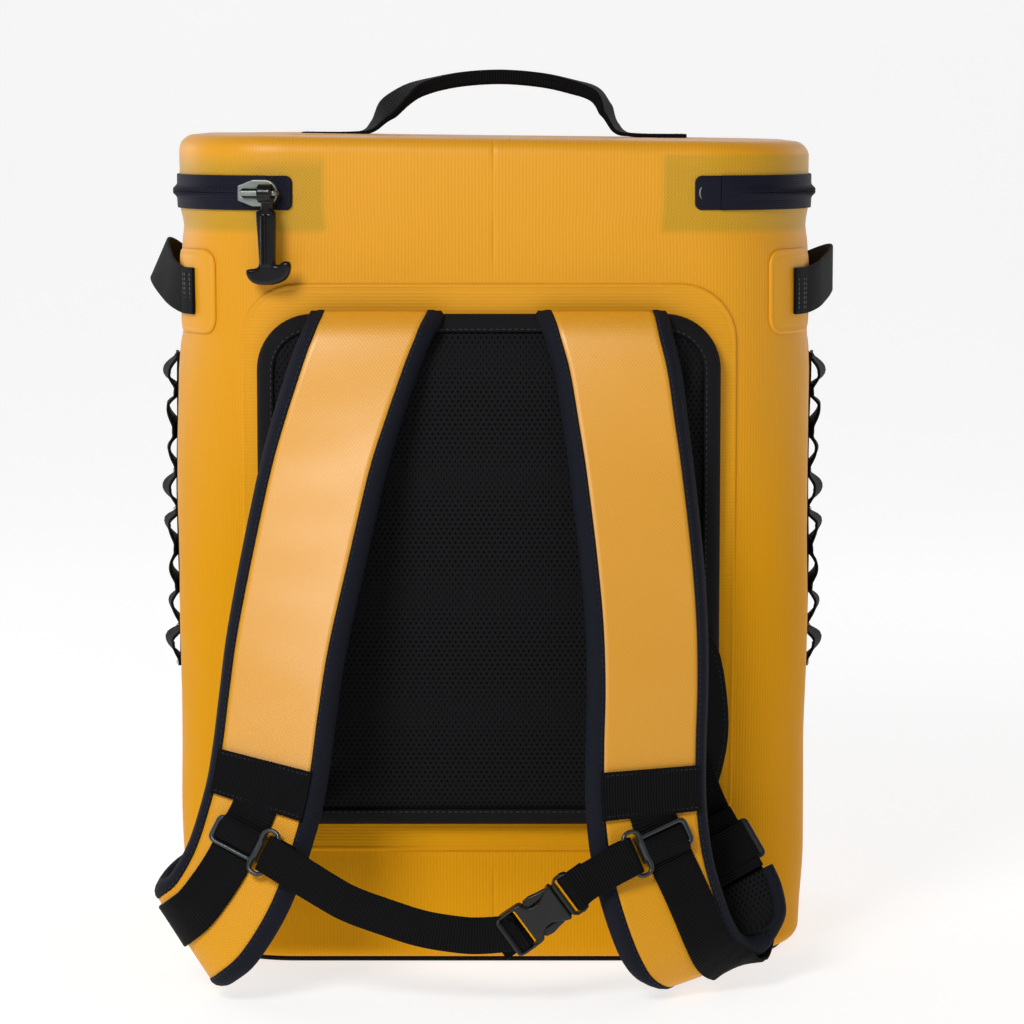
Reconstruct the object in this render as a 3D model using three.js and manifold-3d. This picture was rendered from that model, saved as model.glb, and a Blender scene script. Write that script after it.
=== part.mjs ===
import * as THREE from 'three';
import { mergeVertices } from 'three/addons/utils/BufferGeometryUtils.js';
import Module from 'manifold-3d';

// A cooler backpack that stands on its base. +X is to the right of someone who looks at the
// harness, +Y runs from the harness face to the outer face, and +Z is up. The origin is the
// centre of the base panel's underside. Lengths are in millimetres.

// The insulated body and its lid
const bodyWidth = 354;
const bodyDepth = 225;
const bodyHeight = 460;
const cornerRadius = 64;
const wallThickness = 22;
const floorThickness = 24;
const wallDraw = 3;
const bottomRound = 8;
const innerRound = 12;
const lidRound = 13;
const lidCrown = 2.5;
const lidThickness = 20;
const basePanelThickness = 3;
const clearance = 0.3;

// The zip and its pull
const zipLevel = 430.5;
const zipWidth = 20;
const zipThickness = 1.3;
const coilWidth = 5;
const coilProud = 2.2;
const zipHalfOpening = 110;
const dockLength = 14;
const dockThickness = 3.2;
const sliderLength = 21;
const sliderWidth = 14.5;
const sliderThickness = 3;
const bridgeWidth = 2.6;
const bridgeRise = 4.2;
const eyeRadius = 5.2;
const eyeBore = 2.4;
const eyeWidth = 6.5;
const pullReach = 46;
const pullStem = 10.4;
const pullBar = 25;
const pullBarHeight = 9;
const pullBarSlant = 9;
const pullThickness = 5;

// The harness face
const patchWidth = 274;
const patchBottom = 65;
const patchTop = 381;
const patchRadius = 31;
const skinThickness = 1.2;
const harnessShift = -2.7;
const panelWidth = 253;
const panelBottom = 82;
const panelTop = 364;
const panelRadius = 30;
const panelThickness = 12;
const panelEdge = 4.5;
const panelBevel = 17;

// The shoulder straps and what they carry
const strapWidth = 68;
const strapThickness = 11;
const strapEdge = 4.6;
const bindingWidth = 8;
const strapReach = 86;
const faceThickness = 1;
const webbingWidth = 26;
const webbingThickness = 1.7;
const railShiftLeft = 9;
const railShiftRight = 13;
const lockWidth = 36;
const lockLength = 24;
const lockThickness = 3;
const barWidth = 3;
const wingThickness = 2.4;

// The chest strap
const chestWidth = 20;
const chestThickness = 1.4;
const clipWidth = 31;
const clipLength = 16;
const clipThickness = 2.2;
const ringReach = 8;
const ringThickness = 3;
const buckleLength = 45;
const buckleWidth = 24;
const buckleThickness = 9;
const buckleSlant = 36;

// The handles and the daisy chains
const handleSpan = 221;
const handleRise = 31;
const handleThickness = 2.2;
const gripThickness = 8.5;
const gripWidth = 14;
const sideHandleLevel = 378;
const sideHandleSpan = 146;
const sideHandleReach = 18;
const sidePatchHeight = 47;
const sidePatchLength = 44;
const sidePatchMargin = 9;
const sideTabLength = 14;
const daisyBottom = 154;
const daisyTop = 336;
const daisyLoops = 8;
const daisyReach = 6;
const daisyTack = 3;
const daisyPatchWidth = 48;
const daisyPatchMargin = 14;

const yellowCoat = new THREE.MeshStandardMaterial({ color: 0xd59a20, roughness: 0.55, metalness: 0 });
const yellowFace = new THREE.MeshStandardMaterial({ color: 0xe3a63a, roughness: 0.6, metalness: 0 });
const blackMesh = new THREE.MeshStandardMaterial({ color: 0x1d1e20, roughness: 0.9, metalness: 0 });
const blackCloth = new THREE.MeshStandardMaterial({ color: 0x24272e, roughness: 0.85, metalness: 0 });
const blackWebbing = new THREE.MeshStandardMaterial({ color: 0x121316, roughness: 0.8, metalness: 0 });
const blackPlastic = new THREE.MeshStandardMaterial({ color: 0x2b2b2b, roughness: 0.4, metalness: 0 });
const greyMetal = new THREE.MeshStandardMaterial({ color: 0x8b958c, roughness: 0.4, metalness: 0.6 });

const wasm = await Module();
wasm.setup();

const bag = new THREE.Group();
const faceY = -bodyDepth / 2;
const up = new THREE.Vector3(0, 0, 1);
const cornerSteps = 8;

// Plain helpers

function radians(degrees) {
  return degrees * Math.PI / 180;
}

function addMesh(name, geometry, material, parent = bag) {
  const mesh = new THREE.Mesh(geometry, material);
  mesh.name = name;
  parent.add(mesh);
  return mesh;
}

function signedVolume(positions, indices) {
  let volume = 0;
  const corners = [new THREE.Vector3(), new THREE.Vector3(), new THREE.Vector3()];
  for (let i = 0; i < indices.length; i += 3) {
    corners.forEach((corner, k) => corner.fromArray(positions, 3 * indices[i + k]));
    volume += corners[0].dot(corners[1].clone().cross(corners[2]));
  }
  return volume;
}

function indexedGeometry(positions, indices) {
  if (signedVolume(positions, indices) < 0) indices.reverse();
  const geometry = new THREE.BufferGeometry();
  geometry.setAttribute('position', new THREE.Float32BufferAttribute(positions, 3));
  geometry.setIndex(indices);
  geometry.computeVertexNormals();
  return geometry;
}

// A closed body through rings of equal length, with a flat fan over the first and the last
function loft(rings) {
  const count = rings[0].length;
  const positions = [];
  const indices = [];
  rings.forEach((ring) => ring.forEach((point) => positions.push(point.x, point.y, point.z)));
  for (let i = 0; i + 1 < rings.length; i += 1) {
    for (let j = 0; j < count; j += 1) {
      const next = (j + 1) % count;
      const a = i * count + j;
      const b = i * count + next;
      // The shorter diagonal, so that twisted layers which lie on each other stay parallel
      const straight = rings[i][j].distanceTo(rings[i + 1][next]);
      const crossed = rings[i][next].distanceTo(rings[i + 1][j]);
      if (straight <= crossed) indices.push(a, b, b + count, a, b + count, a + count);
      else indices.push(a, b, a + count, b, b + count, a + count);
    }
  }
  [0, rings.length - 1].forEach((end) => {
    const middle = new THREE.Vector3();
    rings[end].forEach((point) => middle.add(point));
    middle.divideScalar(count);
    const hub = positions.length / 3;
    positions.push(middle.x, middle.y, middle.z);
    for (let j = 0; j < count; j += 1) {
      const a = end * count + j;
      const b = end * count + (j + 1) % count;
      if (end === 0) indices.push(b, a, hub);
      else indices.push(a, b, hub);
    }
  });
  return indexedGeometry(positions, indices);
}

function toSolid(geometry) {
  const plain = geometry.clone();
  plain.deleteAttribute('normal');
  plain.deleteAttribute('uv');
  const merged = mergeVertices(plain, 1e-4);
  return new wasm.Manifold(new wasm.Mesh({
    numProp: 3,
    vertProperties: new Float32Array(merged.attributes.position.array),
    triVerts: new Uint32Array(merged.index.array),
  }));
}

function fromSolid(solid) {
  const mesh = solid.getMesh();
  return indexedGeometry(Array.from(mesh.vertProperties), Array.from(mesh.triVerts));
}

function roundedOutline(width, height, radius, steps = 3) {
  const x = width / 2 - radius;
  const y = height / 2 - radius;
  const corners = [[x, y, 0], [-x, y, 1], [-x, -y, 2], [x, -y, 3]];
  return new THREE.Shape(corners.flatMap(([cx, cy, quarter]) => Array.from({ length: steps + 1 }, (_, k) => {
    const angle = (quarter + k / steps) * Math.PI / 2;
    return new THREE.Vector2(cx + radius * Math.cos(angle), cy + radius * Math.sin(angle));
  })));
}

// A plate of an outline drawn across X and Y, centred on z = 0
function plate(outline, thickness, curveSegments = 4) {
  const geometry = new THREE.ExtrudeGeometry(outline, { depth: thickness, bevelEnabled: false, curveSegments });
  return geometry.translate(0, 0, -thickness / 2);
}

function block(width, length, thickness, x = 0, y = 0, z = 0) {
  return new THREE.BoxGeometry(width, length, thickness).translate(x, y, z);
}

// A table's columns at any place between its rows, on straight lines
function onTable(rows, key, column, at) {
  const last = rows.length - 1;
  if (at <= rows[0][key]) return rows[0][column];
  if (at >= rows[last][key]) return rows[last][column];
  const next = rows.findIndex((row) => row[key] > at);
  const share = (at - rows[next - 1][key]) / (rows[next][key] - rows[next - 1][key]);
  return rows[next - 1][column] + share * (rows[next][column] - rows[next - 1][column]);
}

// A list of numbers at a place between its entries, on one smooth curve
function smooth(values, at) {
  const last = values.length - 1;
  const k = Math.min(Math.floor(at), last - 1);
  const t = at - k;
  const p0 = values[Math.max(k - 1, 0)];
  const p1 = values[k];
  const p2 = values[k + 1];
  const p3 = values[Math.min(k + 2, last)];
  const slope1 = (p2 - p0) / 2;
  const slope2 = (p3 - p1) / 2;
  const t2 = t * t;
  const t3 = t2 * t;
  return (2 * t3 - 3 * t2 + 1) * p1 + (t3 - 2 * t2 + t) * slope1
    + (3 * t2 - 2 * t3) * p2 + (t3 - t2) * slope2;
}

// The wall of the body and lid

// How far the sides and the outer face draw in, as a share of wallDraw, up the body
const drawRows = [
  { up: 0.00, draw: 1.00 },
  { up: 0.14, draw: 0.70 },
  { up: 0.40, draw: 0.30 },
  { up: 0.70, draw: 0.20 },
  { up: 0.875, draw: 0.35 },
  { up: 0.895, draw: 0.90 },
  { up: 0.912, draw: 0.00 },
  { up: 1.00, draw: 0.00 },
];

function wallBox(level) {
  const draw = wallDraw * onTable(drawRows, 'up', 'draw', level / bodyHeight);
  return { half: bodyWidth / 2 - draw, front: faceY, back: bodyDepth / 2 - draw };
}

// A level ring of the wall, drawn in by inset
function wallRing(level, inset, height = level) {
  const box = wallBox(level);
  const radius = Math.max(cornerRadius - inset, 2);
  const half = box.half - inset - radius;
  const front = box.front + inset + radius;
  const back = box.back - inset - radius;
  const corners = [[half, back, 0], [-half, back, 1], [-half, front, 2], [half, front, 3]];
  return corners.flatMap(([x, y, quarter]) => Array.from({ length: cornerSteps + 1 }, (_, k) => {
    const angle = (quarter + k / cornerSteps) * Math.PI / 2;
    return new THREE.Vector3(x + radius * Math.cos(angle), y + radius * Math.sin(angle), height);
  }));
}

// A place on the wall. side is -1 for left and 1 for right, and along is the distance
// round the wall from the middle of the harness face.
function wallPoint(level, side, along, lift) {
  const box = wallBox(level);
  const flat = box.half - cornerRadius;
  const arc = cornerRadius * Math.PI / 2;
  const depth = box.back - box.front - 2 * cornerRadius;
  let x = 0;
  let y = 0;
  let angle = 0;
  if (along < flat) {
    x = along;
    y = box.front;
  } else if (along < flat + arc) {
    angle = (along - flat) / cornerRadius;
    x = flat + cornerRadius * Math.sin(angle);
    y = box.front + cornerRadius * (1 - Math.cos(angle));
  } else if (along < flat + arc + depth) {
    angle = Math.PI / 2;
    x = box.half;
    y = box.front + cornerRadius + along - flat - arc;
  } else if (along < flat + 2 * arc + depth) {
    angle = Math.PI / 2 + (along - flat - arc - depth) / cornerRadius;
    x = flat + cornerRadius * Math.sin(angle);
    y = box.back - cornerRadius * (1 + Math.cos(angle));
  } else {
    angle = Math.PI;
    x = 2 * flat + 2 * arc + depth - along;
    y = box.back;
  }
  const normal = new THREE.Vector3(side * Math.sin(angle), -Math.cos(angle), 0);
  return { point: new THREE.Vector3(side * x, y, level).addScaledVector(normal, lift), normal, angle };
}

const wallFlat = bodyWidth / 2 - cornerRadius;
const wallArc = cornerRadius * Math.PI / 2;
const wallSide = bodyDepth - 2 * cornerRadius;
const halfGirth = 2 * wallFlat + 2 * wallArc + wallSide;

// The places between two distances round the wall where a piece on it needs a ring
function wallStops(from, to) {
  const stops = [from, to];
  [wallFlat, wallFlat + wallArc + wallSide].forEach((start) => {
    for (let k = 0; k <= cornerSteps; k += 1) stops.push(start + k * wallArc / cornerSteps);
  });
  return stops.filter((stop) => stop >= from && stop <= to).sort((a, b) => a - b)
    .filter((stop, k, all) => k === 0 || stop - all[k - 1] > 0.4);
}

// A piece that follows the wall. Each section corner has a level and a lift off the wall.
function wallPiece(route, section) {
  return loft(route.map(({ side, along, shrink = 0 }) => section.map(({ level, lift, middle }) => {
    const pull = middle === undefined ? 0 : Math.sign(middle - level) * shrink;
    return wallPoint(level + pull, side, along, lift).point;
  })));
}

// A thin skin on the wall between two levels, with its corners rounded
function wallSkin(side, from, to, bottom, top, lift, thickness, radius) {
  const middle = (bottom + top) / 2;
  const breaks = drawRows.map((row) => row.up * bodyHeight);
  const levels = [bottom, ...breaks.filter((level) => level > bottom + radius && level < top - radius), top];
  const edge = (level) => (level === bottom || level === top ? middle : undefined);
  const inner = levels.map((level) => ({ level, lift, middle: edge(level) }));
  const outer = levels.map((level) => ({ level, lift: lift + thickness, middle: edge(level) })).reverse();
  const rounding = [0, 0.3, 1].map((share) => share * radius);
  const marks = [...wallStops(from + radius, to - radius), ...rounding.map((d) => from + d),
    ...rounding.map((d) => to - d)].sort((a, b) => a - b);
  const stops = marks.filter((stop, k, all) => k === 0 || stop - all[k - 1] > 0.4);
  const route = stops.map((along) => {
    const near = Math.min(along - from, to - along, radius);
    return { side, along, shrink: radius - Math.sqrt(Math.max(radius * radius - (radius - near) ** 2, 0)) };
  });
  return wallPiece(route, [...inner, ...outer]);
}

// The body is a tub and the lid a cap with a hollow underside

function quarterSteps(steps) {
  return Array.from({ length: steps + 1 }, (_, k) => k / steps * Math.PI / 2);
}

function buildBody() {
  const bottom = basePanelThickness + clearance;
  const top = zipLevel - clearance / 2;
  const outer = quarterSteps(3).map((angle) => wallRing(
    bottom + bottomRound * (1 - Math.cos(angle)),
    bottomRound * (1 - Math.sin(angle)),
  ));
  drawRows.map((row) => row.up * bodyHeight)
    .filter((level) => level > bottom + bottomRound && level < top)
    .forEach((level) => outer.push(wallRing(level, 0)));
  outer.push(wallRing(top, 0));
  const floor = bottom + floorThickness;
  const inner = [wallRing(top, wallThickness)];
  quarterSteps(2).reverse().forEach((angle) => inner.push(wallRing(
    floor + innerRound * (1 - Math.cos(angle)),
    wallThickness + innerRound * (1 - Math.sin(angle)),
  )));
  addMesh('body', loft([...outer, ...inner]), yellowCoat);
}

function buildLid() {
  const bottom = zipLevel + clearance / 2;
  const outer = [wallRing(bottom, 0)];
  quarterSteps(4).reverse().forEach((angle) => {
    const level = bodyHeight - lidRound * (1 - Math.cos(angle));
    outer.push(wallRing(level, lidRound * (1 - Math.sin(angle))));
  });
  outer.push(wallRing(bodyHeight, cornerRadius, bodyHeight + lidCrown));
  const ceiling = bodyHeight - lidThickness;
  const inner = [
    wallRing(ceiling, wallThickness + innerRound),
    wallRing(ceiling - innerRound / 4, wallThickness + innerRound / 4),
    wallRing(bottom, wallThickness),
  ];
  addMesh('lid', loft([...outer.reverse(), ...inner.reverse()]), yellowCoat);
}

function buildBasePanel() {
  const rings = [
    wallRing(0, bottomRound + 1.5),
    wallRing(0, bottomRound + 0.5, basePanelThickness / 2),
    wallRing(0, bottomRound + 0.5, basePanelThickness),
  ];
  addMesh('base_panel', loft(rings), blackCloth);
}

// The zip runs round the left side, the outer face and the right side

const dockStart = zipHalfOpening;
const tapeStart = dockStart + dockLength;
const sliderAlong = tapeStart + sliderLength / 5;

function buildZip() {
  const low = zipLevel - zipWidth / 2;
  const high = zipLevel + zipWidth / 2;
  const lift = clearance;
  const outerLift = clearance + zipThickness;
  const section = [
    { level: low, lift },
    { level: low, lift: outerLift },
    { level: zipLevel - coilWidth / 2, lift: outerLift },
    { level: zipLevel - coilWidth / 4, lift: outerLift + coilProud },
    { level: zipLevel + coilWidth / 4, lift: outerLift + coilProud },
    { level: zipLevel + coilWidth / 2, lift: outerLift },
    { level: high, lift: outerLift },
    { level: high, lift },
  ];
  const left = wallStops(tapeStart + clearance, halfGirth).map((along) => ({ side: -1, along }));
  const right = wallStops(tapeStart + clearance, halfGirth).slice(0, -1).reverse()
    .map((along) => ({ side: 1, along }));
  addMesh('zip_tape', wallPiece([...left, ...right], section), blackCloth);
  [['zip_dock', -1], ['zip_stop', 1]].forEach(([name, side]) => {
    const end = wallSkin(side, dockStart, tapeStart, low, high, clearance, dockThickness, zipWidth / 6);
    addMesh(name, end, blackPlastic);
  });
}

const bridgeLift = clearance + zipThickness + coilProud + clearance;
const bridgeAxisLift = bridgeLift + sliderThickness + bridgeRise;
const slotHalf = Math.sqrt(eyeRadius ** 2 - bridgeRise ** 2) + clearance;

// The slider and its pull share a frame: x runs to the right, y runs into the bag, z is up
function buildSlider() {
  const seat = wallPoint(zipLevel, -1, sliderAlong, 0);
  const zipFrame = new THREE.Group();
  zipFrame.position.copy(seat.point);
  zipFrame.rotation.z = -seat.angle;
  bag.add(zipFrame);

  const taper = sliderWidth * 0.22;
  const outline = new THREE.Shape();
  outline.moveTo(-sliderLength / 2, -sliderWidth / 2 + taper);
  outline.lineTo(sliderLength / 2 - sliderWidth / 2, -sliderWidth / 2);
  outline.absarc(sliderLength / 2 - sliderWidth / 2, 0, sliderWidth / 2, -Math.PI / 2, Math.PI / 2);
  outline.lineTo(-sliderLength / 2, sliderWidth / 2 - taper);
  const face = plate(outline, sliderThickness, 8);
  const bridgeLeft = -sliderLength * 0.34;
  const bridgeRight = sliderLength * 0.43;
  const bridgeMiddle = (bridgeLeft + bridgeRight) / 2;
  const bridgeLength = bridgeRight - bridgeLeft;
  const slot = block(bridgeLength - bridgeWidth, 2 * slotHalf, 2 * sliderThickness, bridgeMiddle);
  const rise = bridgeRise + bridgeWidth / 2;
  const legHeight = rise + sliderThickness / 2;
  const legLevel = sliderThickness / 4 + rise / 2;
  const bridge = [
    block(bridgeLength, bridgeWidth, bridgeWidth, bridgeMiddle, 0, sliderThickness / 2 + bridgeRise),
    block(bridgeWidth, bridgeWidth, legHeight, bridgeLeft, 0, legLevel),
    block(bridgeWidth, bridgeWidth, legHeight, bridgeRight, 0, legLevel),
  ];
  let solid = toSolid(face).subtract(toSolid(slot));
  bridge.forEach((bar) => { solid = solid.add(toSolid(bar)); });
  const slider = addMesh('zip_slider', fromSolid(solid), greyMetal, zipFrame);
  slider.rotation.x = Math.PI / 2;
  slider.position.y = -bridgeLift - sliderThickness / 2;

  // The pull hangs from the bridge, with its eye round the bridge's long bar
  const stemTop = -eyeRadius * 0.7;
  const barMiddle = -pullReach;
  const pullOutline = new THREE.Shape();
  const stemHalf = pullStem / 2;
  const footHalf = pullStem * 0.4;
  const barHalf = pullBar / 2;
  const barTop = barMiddle + pullBarHeight / 2;
  const slant = Math.tan(radians(pullBarSlant));
  pullOutline.moveTo(-eyeWidth * 0.35, stemTop);
  pullOutline.lineTo(-stemHalf, stemTop - pullStem * 0.3);
  pullOutline.lineTo(-footHalf, barTop + 3);
  pullOutline.quadraticCurveTo(-footHalf, barTop, -footHalf - 3, barTop - 3 * slant);
  pullOutline.lineTo(-barHalf, barTop - barHalf * slant);
  pullOutline.bezierCurveTo(
    -barHalf, barMiddle - pullBarHeight * 0.7,
    barHalf, barMiddle - pullBarHeight * 0.7 + barHalf * slant,
    barHalf, barTop + barHalf * slant,
  );
  pullOutline.quadraticCurveTo(barHalf * 0.8, barTop + barHalf * slant + 1.5, barHalf * 0.6, barTop + 1.2);
  pullOutline.quadraticCurveTo(footHalf, barTop, footHalf, barTop + 3);
  pullOutline.lineTo(stemHalf, stemTop - pullStem * 0.3);
  pullOutline.lineTo(eyeWidth * 0.35, stemTop);
  const blade = plate(pullOutline, pullThickness, 5).rotateX(Math.PI / 2);
  const eye = new THREE.CylinderGeometry(eyeRadius, eyeRadius, eyeWidth, 20).rotateZ(Math.PI / 2);
  const bore = new THREE.CylinderGeometry(eyeBore, eyeBore, 2 * eyeWidth, 16).rotateZ(Math.PI / 2);
  const pullSolid = toSolid(blade).add(toSolid(eye)).subtract(toSolid(bore));
  const pull = addMesh('zip_pull', fromSolid(pullSolid), blackPlastic, zipFrame);
  pull.position.set(bridgeRight - bridgeWidth / 2 - clearance - eyeWidth / 2, -bridgeAxisLift, 0);
}

// The harness face: a welded patch and the padded mesh panel that lies on it

function faceRing(width, bottom, top, radius, inset, out, shift) {
  const corner = Math.max(radius - inset, 3);
  const half = width / 2 - inset - corner;
  const low = bottom + inset + corner;
  const high = top - inset - corner;
  const corners = [[half, high, 0], [-half, high, 1], [-half, low, 2], [half, low, 3]];
  return corners.flatMap(([x, z, quarter]) => Array.from({ length: 7 }, (_, k) => {
    const angle = (quarter + k / 6) * Math.PI / 2;
    return new THREE.Vector3(shift + x + corner * Math.cos(angle), faceY - out, z + corner * Math.sin(angle));
  }));
}

const patchFront = clearance + skinThickness;
const panelBack = patchFront + clearance;

function buildHarnessFace() {
  const patch = [clearance, patchFront].map(
    (out) => faceRing(patchWidth, patchBottom, patchTop, patchRadius, 0, out, harnessShift),
  );
  addMesh('back_patch', loft(patch), yellowFace);
  const crown = [
    { inset: 0.00, out: 0.00 },
    { inset: 0.00, out: panelEdge / panelThickness },
    { inset: 0.30, out: 0.72 },
    { inset: 0.65, out: 0.92 },
    { inset: 1.00, out: 1.00 },
  ];
  const panel = crown.map((row) => faceRing(
    panelWidth,
    panelBottom,
    panelTop,
    panelRadius,
    row.inset * panelBevel,
    panelBack + row.out * panelThickness,
    harnessShift,
  ));
  addMesh('back_panel', loft(panel), blackMesh);
}

// Strips of webbing and padding. A frame has a centre, a unit side, a unit normal and a
// stretch for its width, and a strip is lofted through the frames.

function frameList(points, sides) {
  return points.map((centre, k) => {
    const before = points[Math.max(k - 1, 0)];
    const after = points[Math.min(k + 1, points.length - 1)];
    const along = after.clone().sub(before).normalize();
    const side = sides[k].clone().normalize();
    const normal = along.clone().cross(side).normalize();
    return { centre, along, side, normal, stretch: 1 };
  });
}

function stripPoint(frame, across, lift) {
  return frame.centre.clone().addScaledVector(frame.side, across * frame.stretch).addScaledVector(frame.normal, lift);
}

function flatStrip(frames, width, thickness) {
  return loft(frames.map((frame) => [[-1, -1], [1, -1], [1, 1], [-1, 1]]
    .map(([edge, face]) => stripPoint(frame, edge * width / 2, face * thickness / 2))));
}

// The strap tables. across is a share of half the body's width, up of its height, out of the
// straps' reach from the harness face, and wide of the strap's width. turn is how far the outer
// edge turns towards the bag and tip how far it tips up, in degrees. thick is a share of the
// padding's thickness.
const strapTables = {
  left: [
    { across: 0.362, up: 0.791, out: 0.116, turn: 0, tip: 0, wide: 1.08, thick: 0.45 },
    { across: 0.370, up: 0.783, out: 0.182, turn: 0, tip: 0, wide: 1.07, thick: 0.60 },
    { across: 0.387, up: 0.771, out: 0.234, turn: 0, tip: 0, wide: 1.06, thick: 0.85 },
    { across: 0.407, up: 0.754, out: 0.262, turn: 0, tip: 0, wide: 1.06, thick: 1.00 },
    { across: 0.437, up: 0.722, out: 0.300, turn: 1, tip: 0, wide: 1.05, thick: 1.00 },
    { across: 0.482, up: 0.668, out: 0.350, turn: 4, tip: 0, wide: 1.04, thick: 1.00 },
    { across: 0.524, up: 0.610, out: 0.405, turn: 8, tip: 0, wide: 1.03, thick: 1.00 },
    { across: 0.582, up: 0.507, out: 0.512, turn: 12, tip: 2, wide: 1.02, thick: 1.00 },
    { across: 0.631, up: 0.413, out: 0.616, turn: 16, tip: 5, wide: 1.00, thick: 1.00 },
    { across: 0.656, up: 0.343, out: 0.698, turn: 19, tip: 8, wide: 1.00, thick: 1.00 },
    { across: 0.678, up: 0.276, out: 0.779, turn: 20, tip: 10, wide: 1.00, thick: 1.00 },
    { across: 0.706, up: 0.222, out: 0.849, turn: 22, tip: 13, wide: 1.00, thick: 1.00 },
    { across: 0.767, up: 0.151, out: 0.930, turn: 25, tip: 25, wide: 1.00, thick: 1.00 },
    { across: 0.842, up: 0.101, out: 0.960, turn: 27, tip: 40, wide: 1.00, thick: 1.00 },
    { across: 0.892, up: 0.083, out: 0.915, turn: 28, tip: 48, wide: 1.00, thick: 0.95 },
    { across: 0.914, up: 0.076, out: 0.800, turn: 28, tip: 51, wide: 1.00, thick: 0.90 },
    { across: 0.896, up: 0.083, out: 0.670, turn: 24, tip: 50, wide: 1.00, thick: 0.90 },
    { across: 0.850, up: 0.101, out: 0.590, turn: 18, tip: 46, wide: 0.96, thick: 0.90 },
    { across: 0.800, up: 0.122, out: 0.530, turn: 14, tip: 42, wide: 0.86, thick: 0.75 },
  ],
  right: [
    { across: 0.333, up: 0.791, out: 0.116, turn: 0, tip: 0, wide: 1.06, thick: 0.45 },
    { across: 0.341, up: 0.783, out: 0.182, turn: 0, tip: 0, wide: 1.05, thick: 0.60 },
    { across: 0.351, up: 0.771, out: 0.234, turn: 0, tip: 0, wide: 1.03, thick: 0.85 },
    { across: 0.364, up: 0.754, out: 0.262, turn: 0, tip: 0, wide: 1.02, thick: 1.00 },
    { across: 0.384, up: 0.722, out: 0.300, turn: 1, tip: 0, wide: 1.01, thick: 1.00 },
    { across: 0.404, up: 0.668, out: 0.350, turn: 4, tip: 0, wide: 1.00, thick: 1.00 },
    { across: 0.424, up: 0.610, out: 0.405, turn: 8, tip: 0, wide: 1.00, thick: 1.00 },
    { across: 0.452, up: 0.513, out: 0.512, turn: 11, tip: 0, wide: 1.00, thick: 1.00 },
    { across: 0.467, up: 0.435, out: 0.590, turn: 14, tip: 0, wide: 1.00, thick: 1.00 },
    { across: 0.470, up: 0.365, out: 0.670, turn: 16, tip: 0, wide: 1.00, thick: 1.00 },
    { across: 0.464, up: 0.290, out: 0.755, turn: 17, tip: 1, wide: 1.00, thick: 1.00 },
    { across: 0.464, up: 0.228, out: 0.830, turn: 18, tip: 2, wide: 1.00, thick: 1.00 },
    { across: 0.482, up: 0.165, out: 0.905, turn: 20, tip: 5, wide: 1.00, thick: 1.00 },
    { across: 0.520, up: 0.110, out: 0.955, turn: 22, tip: 9, wide: 1.00, thick: 1.00 },
    { across: 0.566, up: 0.066, out: 0.935, turn: 24, tip: 12, wide: 1.00, thick: 0.95 },
    { across: 0.618, up: 0.043, out: 0.830, turn: 24, tip: 14, wide: 1.00, thick: 0.90 },
    { across: 0.680, up: 0.040, out: 0.700, turn: 18, tip: 16, wide: 1.00, thick: 0.90 },
    { across: 0.728, up: 0.058, out: 0.585, turn: 12, tip: 20, wide: 0.98, thick: 0.90 },
    { across: 0.732, up: 0.088, out: 0.510, turn: 10, tip: 24, wide: 0.92, thick: 0.85 },
    { across: 0.722, up: 0.112, out: 0.455, turn: 10, tip: 27, wide: 0.84, thick: 0.75 },
  ],
};

// The strap's frame on its smooth curve, at a place between the rows of its table
function curveFrame(name, at) {
  const rows = strapTables[name];
  const hand = name === 'left' ? -1 : 1;
  const column = (key, place) => smooth(rows.map((row) => row[key]), Math.min(Math.max(place, 0), rows.length - 1));
  const centreAt = (place) => new THREE.Vector3(
    hand * column('across', place) * bodyWidth / 2,
    faceY - column('out', place) * strapReach,
    column('up', place) * bodyHeight,
  );
  const turn = radians(column('turn', at));
  const tip = radians(column('tip', at));
  const side = new THREE.Vector3(
    Math.cos(tip) * Math.cos(turn),
    hand * Math.cos(tip) * Math.sin(turn),
    hand * Math.sin(tip),
  );
  const step = 0.02;
  const along = centreAt(at + step).sub(centreAt(at - step)).normalize();
  const normal = along.clone().cross(side).normalize();
  return { centre: centreAt(at), along, side, normal, stretch: column('wide', at), thick: column('thick', at) };
}

// The padding is lofted through a frame at every half row. What lies on it takes its frames
// on the straight lines between those, so that the layers stay parallel.
const strapGrid = {};
['left', 'right'].forEach((name) => {
  const count = 2 * (strapTables[name].length - 1) + 1;
  strapGrid[name] = Array.from({ length: count }, (_, k) => curveFrame(name, k / 2));
});

function strapFrame(name, at) {
  const grid = strapGrid[name];
  const k = Math.min(Math.floor(2 * at), grid.length - 2);
  const share = 2 * at - k;
  const mix = {};
  ['centre', 'along', 'side', 'normal'].forEach((key) => {
    mix[key] = grid[k][key].clone().lerp(grid[k + 1][key], share);
  });
  ['stretch', 'thick'].forEach((key) => {
    mix[key] = grid[k][key] + share * (grid[k + 1][key] - grid[k][key]);
  });
  return mix;
}

function strapPlaces(from, to) {
  const places = [from];
  for (let k = Math.floor(2 * from) + 1; k < 2 * to; k += 1) places.push(k / 2);
  return [...places, to];
}

function strapFrames(name, from, to) {
  return strapPlaces(from, to).map((at) => strapFrame(name, at));
}

function railMiddle(name, at) {
  const share = Math.min(Math.max((at - bandRows[name].end) / 2.4, 0), 1);
  const shift = name === 'left' ? -railShiftLeft : railShiftRight;
  return shift * share * (2 - share);
}

// Where the cross band and the chest slider sit, counted in rows of the strap's table
const bandRows = { left: { start: 9.98, end: 10.97 }, right: { start: 10.34, end: 11.22 } };
const sliderRows = { left: 11.52, right: 11.68 };

const faceLow = (frame) => frame.thick * strapThickness / 2 + clearance;
const faceHigh = (frame) => faceLow(frame) + faceThickness;
const railLow = (frame) => faceHigh(frame) + 2.5 * clearance;
const railHigh = (frame) => railLow(frame) + webbingThickness;

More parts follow.
